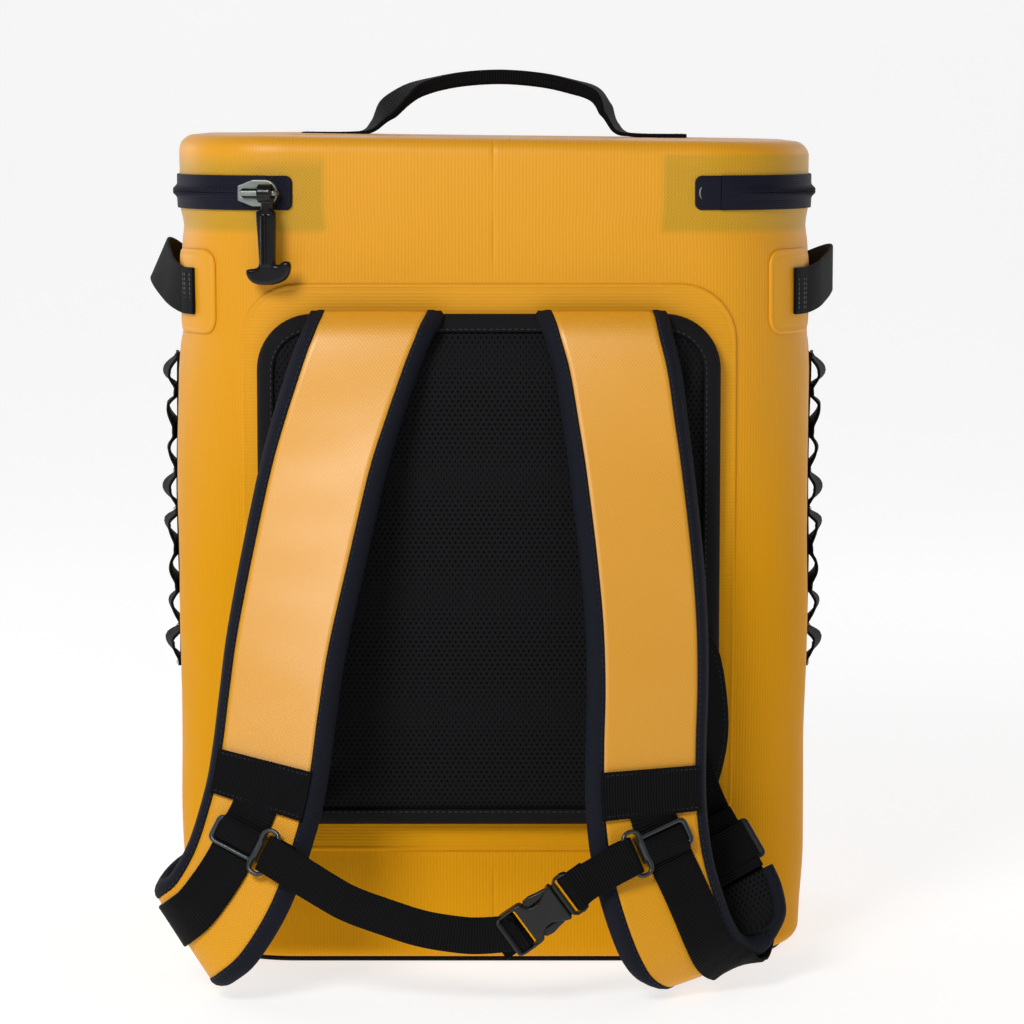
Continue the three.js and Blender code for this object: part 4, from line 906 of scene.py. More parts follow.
def build_zip():
    """The tape round the bag with the closed coil as a row of teeth under it."""
    low, high = ZIP_LEVEL - ZIP_WIDTH / 2, ZIP_LEVEL + ZIP_WIDTH / 2
    tooth = 2.1
    around = np.arange(TAPE_START + CLEARANCE, 2 * HALF_GIRTH - TAPE_START, tooth / 4)
    s = np.where(around <= HALF_GIRTH, around, around - 2 * HALF_GIRTH)[:, None]
    profile = np.array([
        (low, 0.0), (low - 0.1, 0.4), (low, ZIP_THICKNESS - 0.2), (low + 0.4, ZIP_THICKNESS),
        (ZIP_LEVEL - 4.4, ZIP_THICKNESS), (ZIP_LEVEL - 3.6, ZIP_THICKNESS + 0.2), (ZIP_LEVEL - 2.7, 2.1),
        (ZIP_LEVEL - 1.7, 3.05), (ZIP_LEVEL - 0.8, 3.4), (ZIP_LEVEL - 0.2, 3.35), (ZIP_LEVEL, 3.0),
        (ZIP_LEVEL + 0.2, 3.35), (ZIP_LEVEL + 0.8, 3.4), (ZIP_LEVEL + 1.7, 3.05), (ZIP_LEVEL + 2.7, 2.1),
        (ZIP_LEVEL + 3.6, ZIP_THICKNESS + 0.2), (ZIP_LEVEL + 4.4, ZIP_THICKNESS),
        (high - 0.4, ZIP_THICKNESS), (high, ZIP_THICKNESS - 0.2), (high + 0.1, 0.4), (high, 0.0), (low, 0.0),
    ])
    ridge = np.clip(profile[:, 1] - ZIP_THICKNESS, 0, None) / 2.1
    phase = 2 * math.pi * around[:, None] / tooth
    teeth = 0.30 * np.cos(phase) * ridge[None]
    near_end = ease((np.minimum(around, 2 * HALF_GIRTH - around) - TAPE_START) / 30)[:, None]
    lift = CLEARANCE + np.minimum(profile[None, :, 1], 1.4 + (profile[None, :, 1] - 1.4) * near_end) + teeth * near_end
    co = wall(profile[None, :, 0], s, lift)
    across = np.concatenate([[0], np.cumsum(np.linalg.norm(np.diff(profile, axis=0), axis=-1))])
    cloth = np.stack(np.meshgrid(across, around), -1)
    grids = [(co, cloth)]
    for row in (0, -1):
        grids.append((np.stack([co[row], np.repeat(co[row].mean(0)[None], len(profile), 0)]),
                      np.stack([cloth[row], cloth[row]])))
    piece(grid_mesh("zip_band", grids, sharp=55), TAPE, replaces=["zip_tape"])


def build_docks():
    """The moulded ends of the zip, rounded towards the harness. The left one has rings round the slider's seat."""
    for name, side in (("zip_dock", -1), ("zip_stop", 1)):
        start, spans, rises = DOCK_START, 44, 44
        along, level = np.meshgrid(np.linspace(0, 1, spans), np.linspace(-1, 1, rises))
        # The corners at the free end are rounded by drawing the rows in there
        corner = 4.0
        from_end = along * DOCK_LENGTH
        draw = corner - np.sqrt(np.clip(corner ** 2 - np.clip(corner - from_end, 0, None) ** 2, 0, None))
        dw = level * (ZIP_WIDTH / 2 - draw)
        edge = np.minimum(from_end, ZIP_WIDTH / 2 - draw - np.abs(dw))
        rim = np.sqrt(np.clip(edge / 0.8, 0, 1))
        seat = np.hypot(from_end - DOCK_LENGTH - 1.0, dw)
        rings = 0.22 * np.sin((seat - 7.6) * 2 * math.pi / 2.0) * ease((seat - 7.2) / 0.6) * ease((13.4 - seat) / 0.6)
        thick = ZIP_THICKNESS + (0.5 if side < 0 else 0.1)
        lift = CLEARANCE + rim * thick + rings * rim * (side < 0)
        s = side * (start + from_end)
        top = wall(ZIP_LEVEL + dw, s, lift)
        low = wall(ZIP_LEVEL + dw, s, CLEARANCE)
        cloth = np.stack([dw, from_end], -1)
        rims = []
        for pick in ((slice(None), 0), (slice(None), -1), (0, slice(None)), (-1, slice(None))):
            rims.append((np.stack([top[pick], low[pick]]), np.stack([cloth[pick], cloth[pick]])))
        piece(grid_mesh(f"{name}_cap", [(top, cloth), (low, cloth), *rims]), TAPE, replaces=[name])
    # A thin pale grey metal ridge in an arc on the stop's cap.
    turn = np.linspace(-0.62, 0.62, 15)
    arc = wall(ZIP_LEVEL + 5.6 * np.sin(turn), DOCK_START + 8.2 - 5.6 * np.cos(turn), CLEARANCE + ZIP_THICKNESS + 0.15)
    girth = 0.16 + 0.5 * np.cos(turn * 2.4)[:, None, None] * 0.6
    ring = np.stack([np.cos(np.linspace(0, 2 * math.pi, 9)), np.sin(np.linspace(0, 2 * math.pi, 9))], -1)
    out = wall_normal(np.array([DOCK_START + 3]))[0]
    across = np.cross(out, UP)
    rings = arc[:, None] + girth * (ring[None, :, :1] * across + 0.5 * ring[None, :, 1:] * out)
    piece(grid_mesh("zip_stop_grey_arc", tube_grids(rings)), METAL)


BRIDGE_LIFT = CLEARANCE + ZIP_THICKNESS + COIL_PROUD + CLEARANCE
BRIDGE_AXIS_LIFT = BRIDGE_LIFT + SLIDER_THICKNESS + BRIDGE_RISE
NOSE_STRETCH = 1.6


def zip_frame():
    seat = wall(ZIP_LEVEL, -SLIDER_ALONG, 0.0, soft=False)
    angle = (SLIDER_ALONG - FLAT) / CORNER_RADIUS
    return Matrix.Translation(seat) @ Matrix.Rotation(-angle, 4, "Z")


def build_slider():
    """The cast slider: a plate with a slot, and a bar over it for the pull."""
    half, taper = SLIDER_WIDTH / 2, SLIDER_WIDTH * 0.22
    nose = SLIDER_LENGTH / 2 - half + NOSE_STRETCH
    outline = [(-SLIDER_LENGTH / 2, -half + taper), (-SLIDER_LENGTH * 0.1, -half)]
    outline += [(nose + half * math.cos(a), half * math.sin(a)) for a in np.linspace(-math.pi / 2, math.pi / 2, 26)]
    outline += [(-SLIDER_LENGTH * 0.1, half), (-SLIDER_LENGTH / 2, half - taper)]
    left, right = -SLIDER_LENGTH * 0.34, SLIDER_LENGTH * 0.43 + NOSE_STRETCH + EYE_SHIFT - 1.6
    slot_half = math.sqrt(EYE_RADIUS ** 2 - BRIDGE_RISE ** 2) + CLEARANCE
    low, start = 2.2, left - BRIDGE_WIDTH * 0.6
    eye_start, end = right - BRIDGE_WIDTH / 2 - 9.6, right - BRIDGE_WIDTH * 0.5
    upper = [(start, low * 0.5), (start + 1.0, low), (eye_start - 0.8, low), (eye_start + 0.6, slot_half)]
    upper += [(end - 1.6, slot_half), (end, slot_half * 0.6)]
    slot = (upper + [(x, -y) for x, y in reversed(upper)])
    face = plate([outline, slot], SLIDER_THICKNESS, 0.6, 3)
    rise = SLIDER_THICKNESS / 2 + BRIDGE_RISE
    bar = rounded(right - left + 1.6, BRIDGE_WIDTH + 0.5, 1.3, x=(left + right) / 2)
    bridge = moved(plate([bar], BRIDGE_WIDTH, 0.8, 3), Matrix.Translation((0, 0, rise)))
    leg = [rounded(BRIDGE_WIDTH, BRIDGE_WIDTH, 0.9, x=x) for x in (left, right)]
    height = rise + BRIDGE_WIDTH / 2
    legs = [moved(plate([shape], height, 0.7, 2), Matrix.Translation((0, 0, height / 2 - 0.5))) for shape in leg]
    turn = Matrix.Translation((0, -BRIDGE_LIFT - SLIDER_THICKNESS / 2, 0)) @ Matrix.Rotation(math.pi / 2, 4, "X")
    obj = fused("slider_body", [face, bridge, *legs], zip_frame() @ turn, voxel=0.22, smooth=3)
    piece(obj, METAL, replaces=["zip_slider"])


# The pull seen from the front, in mm from the middle of its eye: the neck, the stem, and the slanted bar
PULL_POINTS = [
    (-3.2, -2.0), (-3.3, -6.0), (-3.6, -8.6), (-6.0, -10.0), (-6.2, -12.1), (-5.5, -22.2), (-4.7, -34.7),
    (-4.7, -38.2), (-6.2, -40.5), (-11.0, -41.3), (-12.1, -42.7), (-11.3, -45.6), (-8.9, -48.3),
    (-5.2, -49.6), (0.8, -49.8), (6.0, -48.9), (10.3, -46.7), (12.8, -43.0), (13.3, -39.0), (12.2, -36.9),
    (9.0, -36.9), (7.0, -38.4), (5.2, -38.6), (4.6, -36.3), (4.7, -28.0), (4.9, -18.3), (4.9, -11.0),
    (4.2, -9.8), (3.2, -8.4), (3.3, -5.6), (3.3, -2.0),
]
PULL_SHIFT = 3.6
EYE_SHIFT = 2.6


def pull_outline():
    corners = np.array(PULL_POINTS)
    closed = np.concatenate([corners[-1:], corners, corners[:2]])
    return [tuple(point) for point in hermite(closed, np.arange(1, len(corners) + 1, 0.25))]


def build_pull():
    blade = moved(plate([pull_outline()], PULL_THICKNESS, 1.9, 5), Matrix.Rotation(math.pi / 2, 4, "X"))
    blade = moved(blade, Matrix.Translation((PULL_SHIFT, 0, 0)))
    length = PULL_REACH - 19
    ridges = [
        moved(rod(0.75, length, "Z", 12), Matrix.Translation((x, -PULL_THICKNESS / 2 - 0.35, -12 - length / 2)))
        for x in (PULL_SHIFT - 2.3, PULL_SHIFT + 0.9)
    ]
    wide = EYE_WIDTH + 1.0
    eye = moved(rod(EYE_RADIUS, wide, "X", 40), Matrix.Translation((EYE_SHIFT, 0, 0)))
    bore = rod(EYE_BORE, 4 * EYE_WIDTH, "X", 24)
    right = SLIDER_LENGTH * 0.43
    place = Matrix.Translation((right - BRIDGE_WIDTH / 2 - CLEARANCE - EYE_WIDTH / 2, -BRIDGE_AXIS_LIFT, 0))
    obj = fused("pull_tab", [blade, eye, *ridges], zip_frame() @ place, voxel=0.34, smooth=5, cuts=[bore])
    piece(obj, GLOSS, body=PULL, replaces=["zip_pull"])


# The padded back panel

PANEL_BACK = CLEARANCE + SKIN + CLEARANCE
PANEL_CROWN = [(0.0, 0.0), (0.0, 0.25), (0.0, 0.42), (0.04, 0.56), (0.12, 0.68), (0.3, 0.8), (0.62, 0.92), (1.0, 1.0)]


def panel_rings(grow=0.0, thick=PANEL_THICKNESS):
    insets = [row[0] * 22 - grow for row in PANEL_CROWN] + list(np.linspace(28, PANEL_WIDTH / 2 - 1, 24))
    rises = [row[1] for row in PANEL_CROWN] + [1.0] * 24
    rings = outline_rings(PANEL_WIDTH, PANEL_TOP - PANEL_BOTTOM, PANEL_RADIUS, insets, 10)
    z = (PANEL_TOP + PANEL_BOTTOM) / 2 + rings[..., 1]
    x = HARNESS_SHIFT + rings[..., 0]
    y = FRONT - PANEL_BACK - thick * np.array(rises)[:, None] + np.zeros_like(x)
    return np.stack([x, y, z], -1)


def simulate_padding(obj, pinned, cap, frames=20, pressure=4.0):
    """Lets a padded piece fill out as cloth, with the pinned points held, and keeps each move under cap mm."""
    rest = np.array([v.co for v in obj.data.vertices])
    group = obj.vertex_groups.new(name="held")
    group.add([int(i) for i in np.flatnonzero(pinned(rest))], 1.0, "REPLACE")
    cloth = obj.modifiers.new("cloth", "CLOTH")
    settings = cloth.settings
    settings.use_pressure = True
    settings.uniform_pressure_force = pressure
    settings.effector_weights.gravity = 0.0
    settings.vertex_group_mass = "held"
    settings.quality = 6
    settings.tension_stiffness = 15
    settings.compression_stiffness = 15
    settings.bending_stiffness = 2.0
    cloth.point_cache.frame_start = 1
    cloth.point_cache.frame_end = frames
    for step in range(1, frames + 1):
        bpy.context.scene.frame_set(step)
    depsgraph = bpy.context.evaluated_depsgraph_get()
    settled = obj.evaluated_get(depsgraph).data
    moved_to = np.array([v.co for v in settled.vertices])
    shift = moved_to - rest
    size = np.linalg.norm(shift, axis=1, keepdims=True)
    shift = shift * np.minimum(1.0, cap * MM / np.maximum(size, 1e-9))
    obj.modifiers.remove(cloth)
    obj.vertex_groups.remove(group)
    bpy.context.scene.frame_set(1)
    obj.data.vertices.foreach_set("co", (rest + shift).astype(np.float32).ravel())
    obj.data.update()


def build_panel():
    rings = panel_rings()
    grids = [(rings, rings[..., [0, 2]])]
    for row, y in ((-1, None), (0, None)):
        hub = np.repeat(rings[row].mean(0)[None], rings.shape[1], 0)
        hub[:, 0], hub[:, 2] = HARNESS_SHIFT, np.clip(rings[row][:, 2], PANEL_BOTTOM + 127, PANEL_TOP - 127)
        grids.append((np.stack([rings[row], hub]), np.stack([rings[row], hub])[..., [0, 2]]))
    obj = grid_mesh("panel_padding", grids)
    remesh = obj.modifiers.new("remesh", "REMESH")
    remesh.mode = "VOXEL"
    remesh.voxel_size = 5 * MM
    bpy.context.view_layer.update()
    mesh = bpy.data.meshes.new_from_object(obj.evaluated_get(bpy.context.evaluated_depsgraph_get()))
    obj.modifiers.clear()
    obj.data = mesh
    back = FRONT - PANEL_BACK - 3.5
    simulate_padding(obj, lambda co: co[:, 1] > back * MM, 3.0)
    divide = obj.modifiers.new("divide", "SUBSURF")
    divide.levels = 1
    bpy.context.view_layer.update()
    mesh = bpy.data.meshes.new_from_object(obj.evaluated_get(bpy.context.evaluated_depsgraph_get()))
    obj.modifiers.clear()
    obj.data = mesh
    co = np.array([v.co for v in mesh.vertices]) / MM
    layer = mesh.uv_layers.get("cloth") or mesh.uv_layers.new(name="cloth")
    corner = np.array([loop.vertex_index for loop in mesh.loops])
    layer.uv.foreach_set("vector", co[corner][:, [0, 2]].astype(np.float32).ravel())
    mesh.shade_smooth()
    obj.name = "panel_padding"
    piece(obj, MESH_CLOTH, replaces=["back_panel"])


def build_panel_binding():
    """The tape that closes the panel's edge, and a row of stitches on it."""
    ring = outline_rings(PANEL_WIDTH, PANEL_TOP - PANEL_BOTTOM, PANEL_RADIUS, [0.4], 16)[0]
    line = np.stack([HARNESS_SHIFT + ring[:, 0], np.full(len(ring), FRONT - PANEL_BACK),
                     (PANEL_TOP + PANEL_BOTTOM) / 2 + ring[:, 1]], -1)
    inward = unit(np.stack([HARNESS_SHIFT - line[:, 0], 0 * line[:, 0], (PANEL_TOP + PANEL_BOTTOM) / 2 - line[:, 2]], -1))
    tangent = unit(np.gradient(line, axis=0))
    out = vec(0, -1, 0)
    inward = np.cross(tangent, out)
    inward *= np.sign((inward * (np.array([HARNESS_SHIFT, 0, 223]) - line)).sum(-1, keepdims=True))
    section = np.array([(-0.9, 0.3), (-1.1, 3.0), (-0.7, 6.2), (0.8, 8.2), (3.0, 9.6), (6.4, 10.7), (8.2, 11.0),
                        (8.4, 10.4), (6.4, 9.9), (3.2, 8.8), (1.4, 7.4), (0.2, 5.8), (0.1, 3.0), (0.1, 0.3)])
    rings = line[:, None] + section[None, :, :1] * inward[:, None] + section[None, :, 1:] * out
    rings = np.concatenate([rings, rings[:, :1]], 1)
    u, v = np.meshgrid(lengths(rings, 1), lengths(rings, 0))
    piece(grid_mesh("panel_binding", [(rings, np.stack([u, v], -1))]), TAB_CLOTH)
    row = line + 7.0 * inward + 10.95 * out
    stitches = stitch_line(row, np.repeat(out[None], len(row), 0))
    piece(grid_mesh("panel_stitching", stitches), THREAD)


# The shoulder straps

STRAP_ROWS = {
    "left": [
        (0.362, 0.791, 0.116, 0, 0, 1.08, 0.45),
        (0.370, 0.783, 0.182, 0, 0, 1.07, 0.60),
        (0.387, 0.771, 0.234, 0, 0, 1.06, 0.85),
        (0.407, 0.754, 0.262, 0, 0, 1.06, 1.00),
        (0.437, 0.722, 0.300, 1, 0, 1.05, 1.00),
        (0.482, 0.668, 0.350, 4, 0, 1.04, 1.00),
        (0.524, 0.610, 0.405, 8, 0, 1.03, 1.00),
        (0.582, 0.507, 0.512, 12, 2, 1.02, 1.00),
        (0.631, 0.413, 0.616, 16, 5, 1.00, 1.00),
        (0.656, 0.343, 0.698, 19, 8, 1.00, 1.00),
        (0.678, 0.276, 0.779, 20, 10, 1.00, 1.00),
        (0.706, 0.222, 0.849, 22, 13, 1.00, 1.00),
        (0.767, 0.151, 0.930, 25, 25, 1.00, 1.00),
        (0.842, 0.101, 0.960, 27, 40, 1.00, 1.00),
        (0.892, 0.083, 0.915, 28, 48, 1.00, 0.95),
        (0.914, 0.076, 0.800, 28, 51, 1.00, 0.90),
        (0.896, 0.083, 0.670, 24, 50, 1.00, 0.90),
        (0.850, 0.101, 0.590, 18, 46, 0.96, 0.90),
        (0.800, 0.122, 0.530, 14, 42, 0.86, 0.75),
    ],
    "right": [
        (0.333, 0.791, 0.116, 0, 0, 1.06, 0.45),
        (0.341, 0.783, 0.182, 0, 0, 1.05, 0.60),
        (0.351, 0.771, 0.234, 0, 0, 1.03, 0.85),
        (0.364, 0.754, 0.262, 0, 0, 1.02, 1.00),
        (0.384, 0.722, 0.300, 1, 0, 1.01, 1.00),
        (0.404, 0.668, 0.350, 4, 0, 1.00, 1.00),
        (0.424, 0.610, 0.405, 8, 0, 1.00, 1.00),
        (0.452, 0.513, 0.512, 11, 0, 1.00, 1.00),
        (0.467, 0.435, 0.590, 14, 0, 1.00, 1.00),
        (0.470, 0.365, 0.670, 16, 0, 1.00, 1.00),
        (0.464, 0.290, 0.755, 17, 1, 1.00, 1.00),
        (0.464, 0.228, 0.830, 18, 2, 1.00, 1.00),
        (0.482, 0.165, 0.905, 20, 5, 1.00, 1.00),
        (0.520, 0.110, 0.955, 22, 9, 1.00, 1.00),
        (0.566, 0.066, 0.935, 24, 12, 1.00, 0.95),
        (0.618, 0.043, 0.830, 24, 14, 1.00, 0.90),
        (0.680, 0.040, 0.700, 18, 16, 1.00, 0.90),
        (0.728, 0.058, 0.585, 12, 20, 0.98, 0.90),
        (0.732, 0.088, 0.510, 10, 24, 0.92, 0.85),
        (0.722, 0.112, 0.455, 10, 27, 0.84, 0.75),
    ],
}
BAND_ROWS = {"left": (9.98, 10.97), "right": (10.34, 11.22)}
SLIDER_ROW = {"left": 11.52, "right": 11.68}
HAND = {"left": -1.0, "right": 1.0}
StrapFrame = namedtuple("StrapFrame", "centre along side normal wide thick")


def strap_centre(name, at):
    row = hermite(STRAP_ROWS[name], at)
    return np.stack([
        HAND[name] * row[..., 0] * BODY_WIDTH / 2,
        FRONT - row[..., 2] * STRAP_REACH,
        row[..., 1] * BODY_HEIGHT,
    ], -1)


def strap_frame(name, at):
    row = hermite(STRAP_ROWS[name], at)
    turn, tip, hand = math.radians(row[3]), math.radians(row[4]), HAND[name]
    side = vec(math.cos(tip) * math.cos(turn), hand * math.cos(tip) * math.sin(turn), hand * math.sin(tip))
    along = unit(strap_centre(name, at + 0.02) - strap_centre(name, at - 0.02))
    return StrapFrame(strap_centre(name, at), along, side, unit(np.cross(along, side)), row[5], row[6])


def strap_places(name, start, end, step=3.0):
    fine = np.linspace(start, end, 400)
    run = np.concatenate([[0], np.cumsum(np.linalg.norm(np.diff(strap_centre(name, fine), axis=0), axis=1))])
    return np.interp(np.linspace(0, run[-1], max(int(run[-1] / step), 2)), run, fine)


def strap_point(f, across, lift):
    return f.centre + across * f.wide * f.side + lift * f.normal


def strap_layer(name, places, section):
    """Rings through the strap's frames. section gives (across, lift) points for a frame."""
    rings = []
    for k, at in enumerate(places):
        f = strap_frame(name, at)
        shape = np.asarray(section(f, k), float)
        rings.append(f.centre + shape[:, :1] * f.wide * f.side + shape[:, 1:] * f.normal)
    return np.array(rings)


def face_low(f):
    return f.thick * STRAP_THICKNESS / 2 + CLEARANCE


def face_high(f):
    return face_low(f) + FACE_THICKNESS


def rail_low(f):
    return face_high(f) + 2.5 * CLEARANCE


def rail_middle(name, at):
    share = np.clip((at - BAND_ROWS[name][1]) / 2.4, 0, 1)
    return RAIL_SHIFT[name] * share * (2 - share)


def pad_section(f, k):
    """The padding: full in the middle, and pressed thin where the tape closes its edges."""
    half = STRAP_WIDTH / 2 - 0.6
    core, rim = f.thick * STRAP_THICKNESS / 2, min(STRAP_EDGE / 2, f.thick * STRAP_THICKNESS * 0.45)
    a = np.linspace(-1, 1, 19)
    swell = 1 - np.clip((np.abs(a) - 0.66) / 0.34, 0, 1) ** 2
    high = rim + (core - rim) * swell
    under = [(-x * half, -h) for x, h in zip(a, high[::-1])]
    over = [(x * half, h) for x, h in zip(a, high)]
    return over + [(half * 1.008, 0.0)] + under + [(-half * 1.008, 0.0)]


def binding_section(f, hand):
    """A tape folded round one edge, from on the face to on the lining."""
    half = STRAP_WIDTH / 2
    inner = half - BINDING
    core = f.thick * STRAP_THICKNESS / 2
    rim = min(STRAP_EDGE / 2, core * 0.9)
    top = face_high(f) + 0.35
    outer = [(inner, top - 0.75), (inner + 0.1, top), (inner + 2.2, top + 0.12), (half - 3.2, top * 0.86),
             (half - 1.2, rim + 1.4), (half + 0.1, rim * 0.55), (half + 0.3, 0.0), (half + 0.1, -rim * 0.55),
             (half - 1.2, -rim - 1.0), (half - 3.2, -core * 0.86), (inner + 2.2, -core - 0.7), (inner, -core - 0.6),
             (inner + 0.1, -core + 0.2)]
    inside = [(half - 3.4, -core * 0.7), (half - 1.4, -rim * 0.6), (half - 1.2, 0.0), (half - 1.4, rim * 0.6),
              (half - 3.4, core * 0.7)]
    return [(hand * a, b) for a, b in outer + inside]


def build_strap(name):
    last = len(STRAP_ROWS[name]) - 1
    places = strap_places(name, 0.0, last)
    pad = grid_mesh(f"strap_{name}_padding", tube_grids(strap_layer(name, places, pad_section)))
    piece(pad, MESH_CLOTH, replaces=[f"strap_pad_{name}"])

    tapes, rows = [], []
    for hand in (-1.0, 1.0):
        tapes += tube_grids(strap_layer(name, places, lambda f, k, h=hand: binding_section(f, h)))
        frames = [strap_frame(name, at) for at in places[1:-1]]
        inner = STRAP_WIDTH / 2 - BINDING + 1.5
        line = [strap_point(f, hand * inner, face_high(f) + 0.42) for f in frames]
        rows += stitch_line(line, [f.normal for f in frames], pitch=3.2, length=2.2, width=0.5)
    piece(grid_mesh(f"strap_{name}_binding", tapes), BINDING_CLOTH)
    piece(grid_mesh(f"strap_{name}_stitching", rows), THREAD)

    def face_section(f, k):
        half = STRAP_WIDTH / 2 - BINDING + 1.2
        a = np.linspace(-1, 1, 15)
        wave = 0.12 * math.sin(0.21 * k) + 0.08 * math.sin(0.57 * k + 1.0)
        high = face_high(f) + (0.25 + wave) * (1 - a ** 2)
        return [(x * half, h) for x, h in zip(a, high)] + [(half, face_low(f)), (-half, face_low(f))]

    faces = strap_layer(name, strap_places(name, 0.05, last - 0.1), face_section)
    piece(grid_mesh(f"strap_{name}_face", tube_grids(faces)), FACE_CLOTH, replaces=[f"strap_face_{name}"])
    build_band(name)
    build_rail(name, last)
    build_chest_slider(name)


def build_band(name):
    """The webbing across the strap, with its ribs along the strap."""
    start, end = BAND_ROWS[name]
    half = STRAP_WIDTH / 2 - BINDING + 1.6
    places = strap_places(name, start, end, 1.4)
    places = np.concatenate([[places[0]] * 2, places, [places[-1]] * 2])
    heights = np.concatenate([[-1.0, 0.6], np.ones(len(places) - 4), [0.6, -1.0]])

    def section(f, k):
        a = np.linspace(-1, 1, 25)
        low = rail_low(f) - 0.6
        high = low + 0.3 + (WEBBING_THICKNESS + 0.2) * max(heights[k], 0.0)
        return [(x * half, high + 0.2 * (1 - x * x)) for x in a] + [(half, low), (-half, low)]

    rings = strap_layer(name, places, section)
    grids = tube_grids(rings)
    turned = [(co, uv[..., ::-1].copy()) for co, uv in grids]
    piece(grid_mesh(f"strap_{name}_band", turned, sharp=60), WEB, replaces=[f"strap_band_{name}"])
    rows = []
    for place in (start + 0.07, end - 0.07):
        f = strap_frame(name, place)
        line = [strap_point(f, x, rail_low(f) + WEBBING_THICKNESS + 0.05) for x in np.linspace(-half + 2, half - 2, 20)]
        rows += stitch_line(line, [f.normal] * 20, pitch=2.6, length=1.8, width=0.5)
    piece(grid_mesh(f"strap_{name}_band_stitching", rows), THREAD)


def loop_route(bar_half, thickness, tail, stretch=0.0):
    """Webbing over a bar and back under it. The first axis runs along the webbing, past the bar."""
    gap = bar_half * math.sqrt(2) + 2 * CLEARANCE + thickness / 2
    turn = [math.radians(a) for a in (90, 54, 18, -18, -54, -90)]
    bend = [(stretch + gap * math.cos(a), gap * math.sin(a)) for a in turn]
    return bend + [(-tail, -gap)]


def build_rail(name, last):
    """The webbing down the strap, its lock past the strap's end, and the webbing on to the anchor."""
    start, end = BAND_ROWS[name][1] - 0.12, last - 0.1
    places = strap_places(name, start, end, 6.0)
    frames = [strap_frame(name, at) for at in places]
    points = [strap_point(f, rail_middle(name, at), rail_low(f) + WEBBING_THICKNESS / 2) for f, at in zip(frames, places)]
    sides = [f.side for f in frames]
    tail = strap_frame(name, end)
    rise = tail.thick * STRAP_THICKNESS / 2
    square = unit(tail.along - tail.side * np.dot(tail.along, tail.side))
    centre = strap_point(tail, rail_middle(name, end), 0.0) + square * (rise + LOCK_LENGTH / 2 + 3)
    out = np.cross(tail.side, square)
    window = (LOCK_LENGTH - 3 * BAR_WIDTH) / 2
    holes = [rounded(WEBBING_WIDTH + 2, window, 0.8, y=h * (window + BAR_WIDTH) / 2)[::-1] for h in (-1, 1)]
    body = plate([rounded(LOCK_WIDTH, LOCK_LENGTH, 3), *holes], LOCK_THICKNESS, 0.9, 3)
    lock = fused(f"lock_{name}", [body], basis(tail.side, square, out, centre))
    piece(lock, SATIN, replaces=[f"ladder_lock_{name}"])

    bar_half = max(LOCK_THICKNESS, BAR_WIDTH) / 2
    facing = math.copysign(1.0, float(np.dot(out, tail.normal)))
    near = centre - square * (LOCK_LENGTH - BAR_WIDTH) / 2
    for x, y in loop_route(bar_half, WEBBING_THICKNESS, 6):
        points.append(near + square * x + out * facing * y)
        sides.append(tail.side)
    grids = webbing_grids(points, sides, WEBBING_WIDTH, WEBBING_THICKNESS)
    under = bar_half + 3 * CLEARANCE + WEBBING_THICKNESS
    free = [centre + square * x * LOCK_LENGTH - out * facing * (under + 1.5 * abs(x)) for x in (-0.45, -0.2, 0.1, 0.45)]
    grids += webbing_grids(free, [tail.side] * 4, WEBBING_WIDTH + 3, WEBBING_THICKNESS)
    piece(grid_mesh(f"rail_{name}", grids), WEB, replaces=[f"strap_rail_{name}"])

    tab_end, tab_side = build_anchor(name)
    far = centre + square * (LOCK_LENGTH - BAR_WIDTH) / 2
    route = [far - square * x + out * facing * y for x, y in loop_route(bar_half, WEBBING_THICKNESS, 10)[::-1]]
    route_sides = [tail.side] * len(route)
    begin, reach = route[-1], tab_end - route[-1]
    for share in (0.3, 0.62, 0.86, 1.0):
        route.append(begin + reach * share - UP * math.sin(share * math.pi) * WEBBING_WIDTH * 0.12)
        route_sides.append(tail.side + (tab_side - tail.side) * share)
    grids = webbing_grids(route, route_sides, WEBBING_WIDTH, WEBBING_THICKNESS)
    piece(grid_mesh(f"anchor_webbing_{name}", grids), WEB, replaces=[f"lower_webbing_{name}"])


TAB_ROWS = [(0.86, 0.376), (0.99, 0.360), (1.045, 0.205), (1.00, 0.085), (0.93, 0.050), (0.74, 0.060), (0.76, 0.210)]


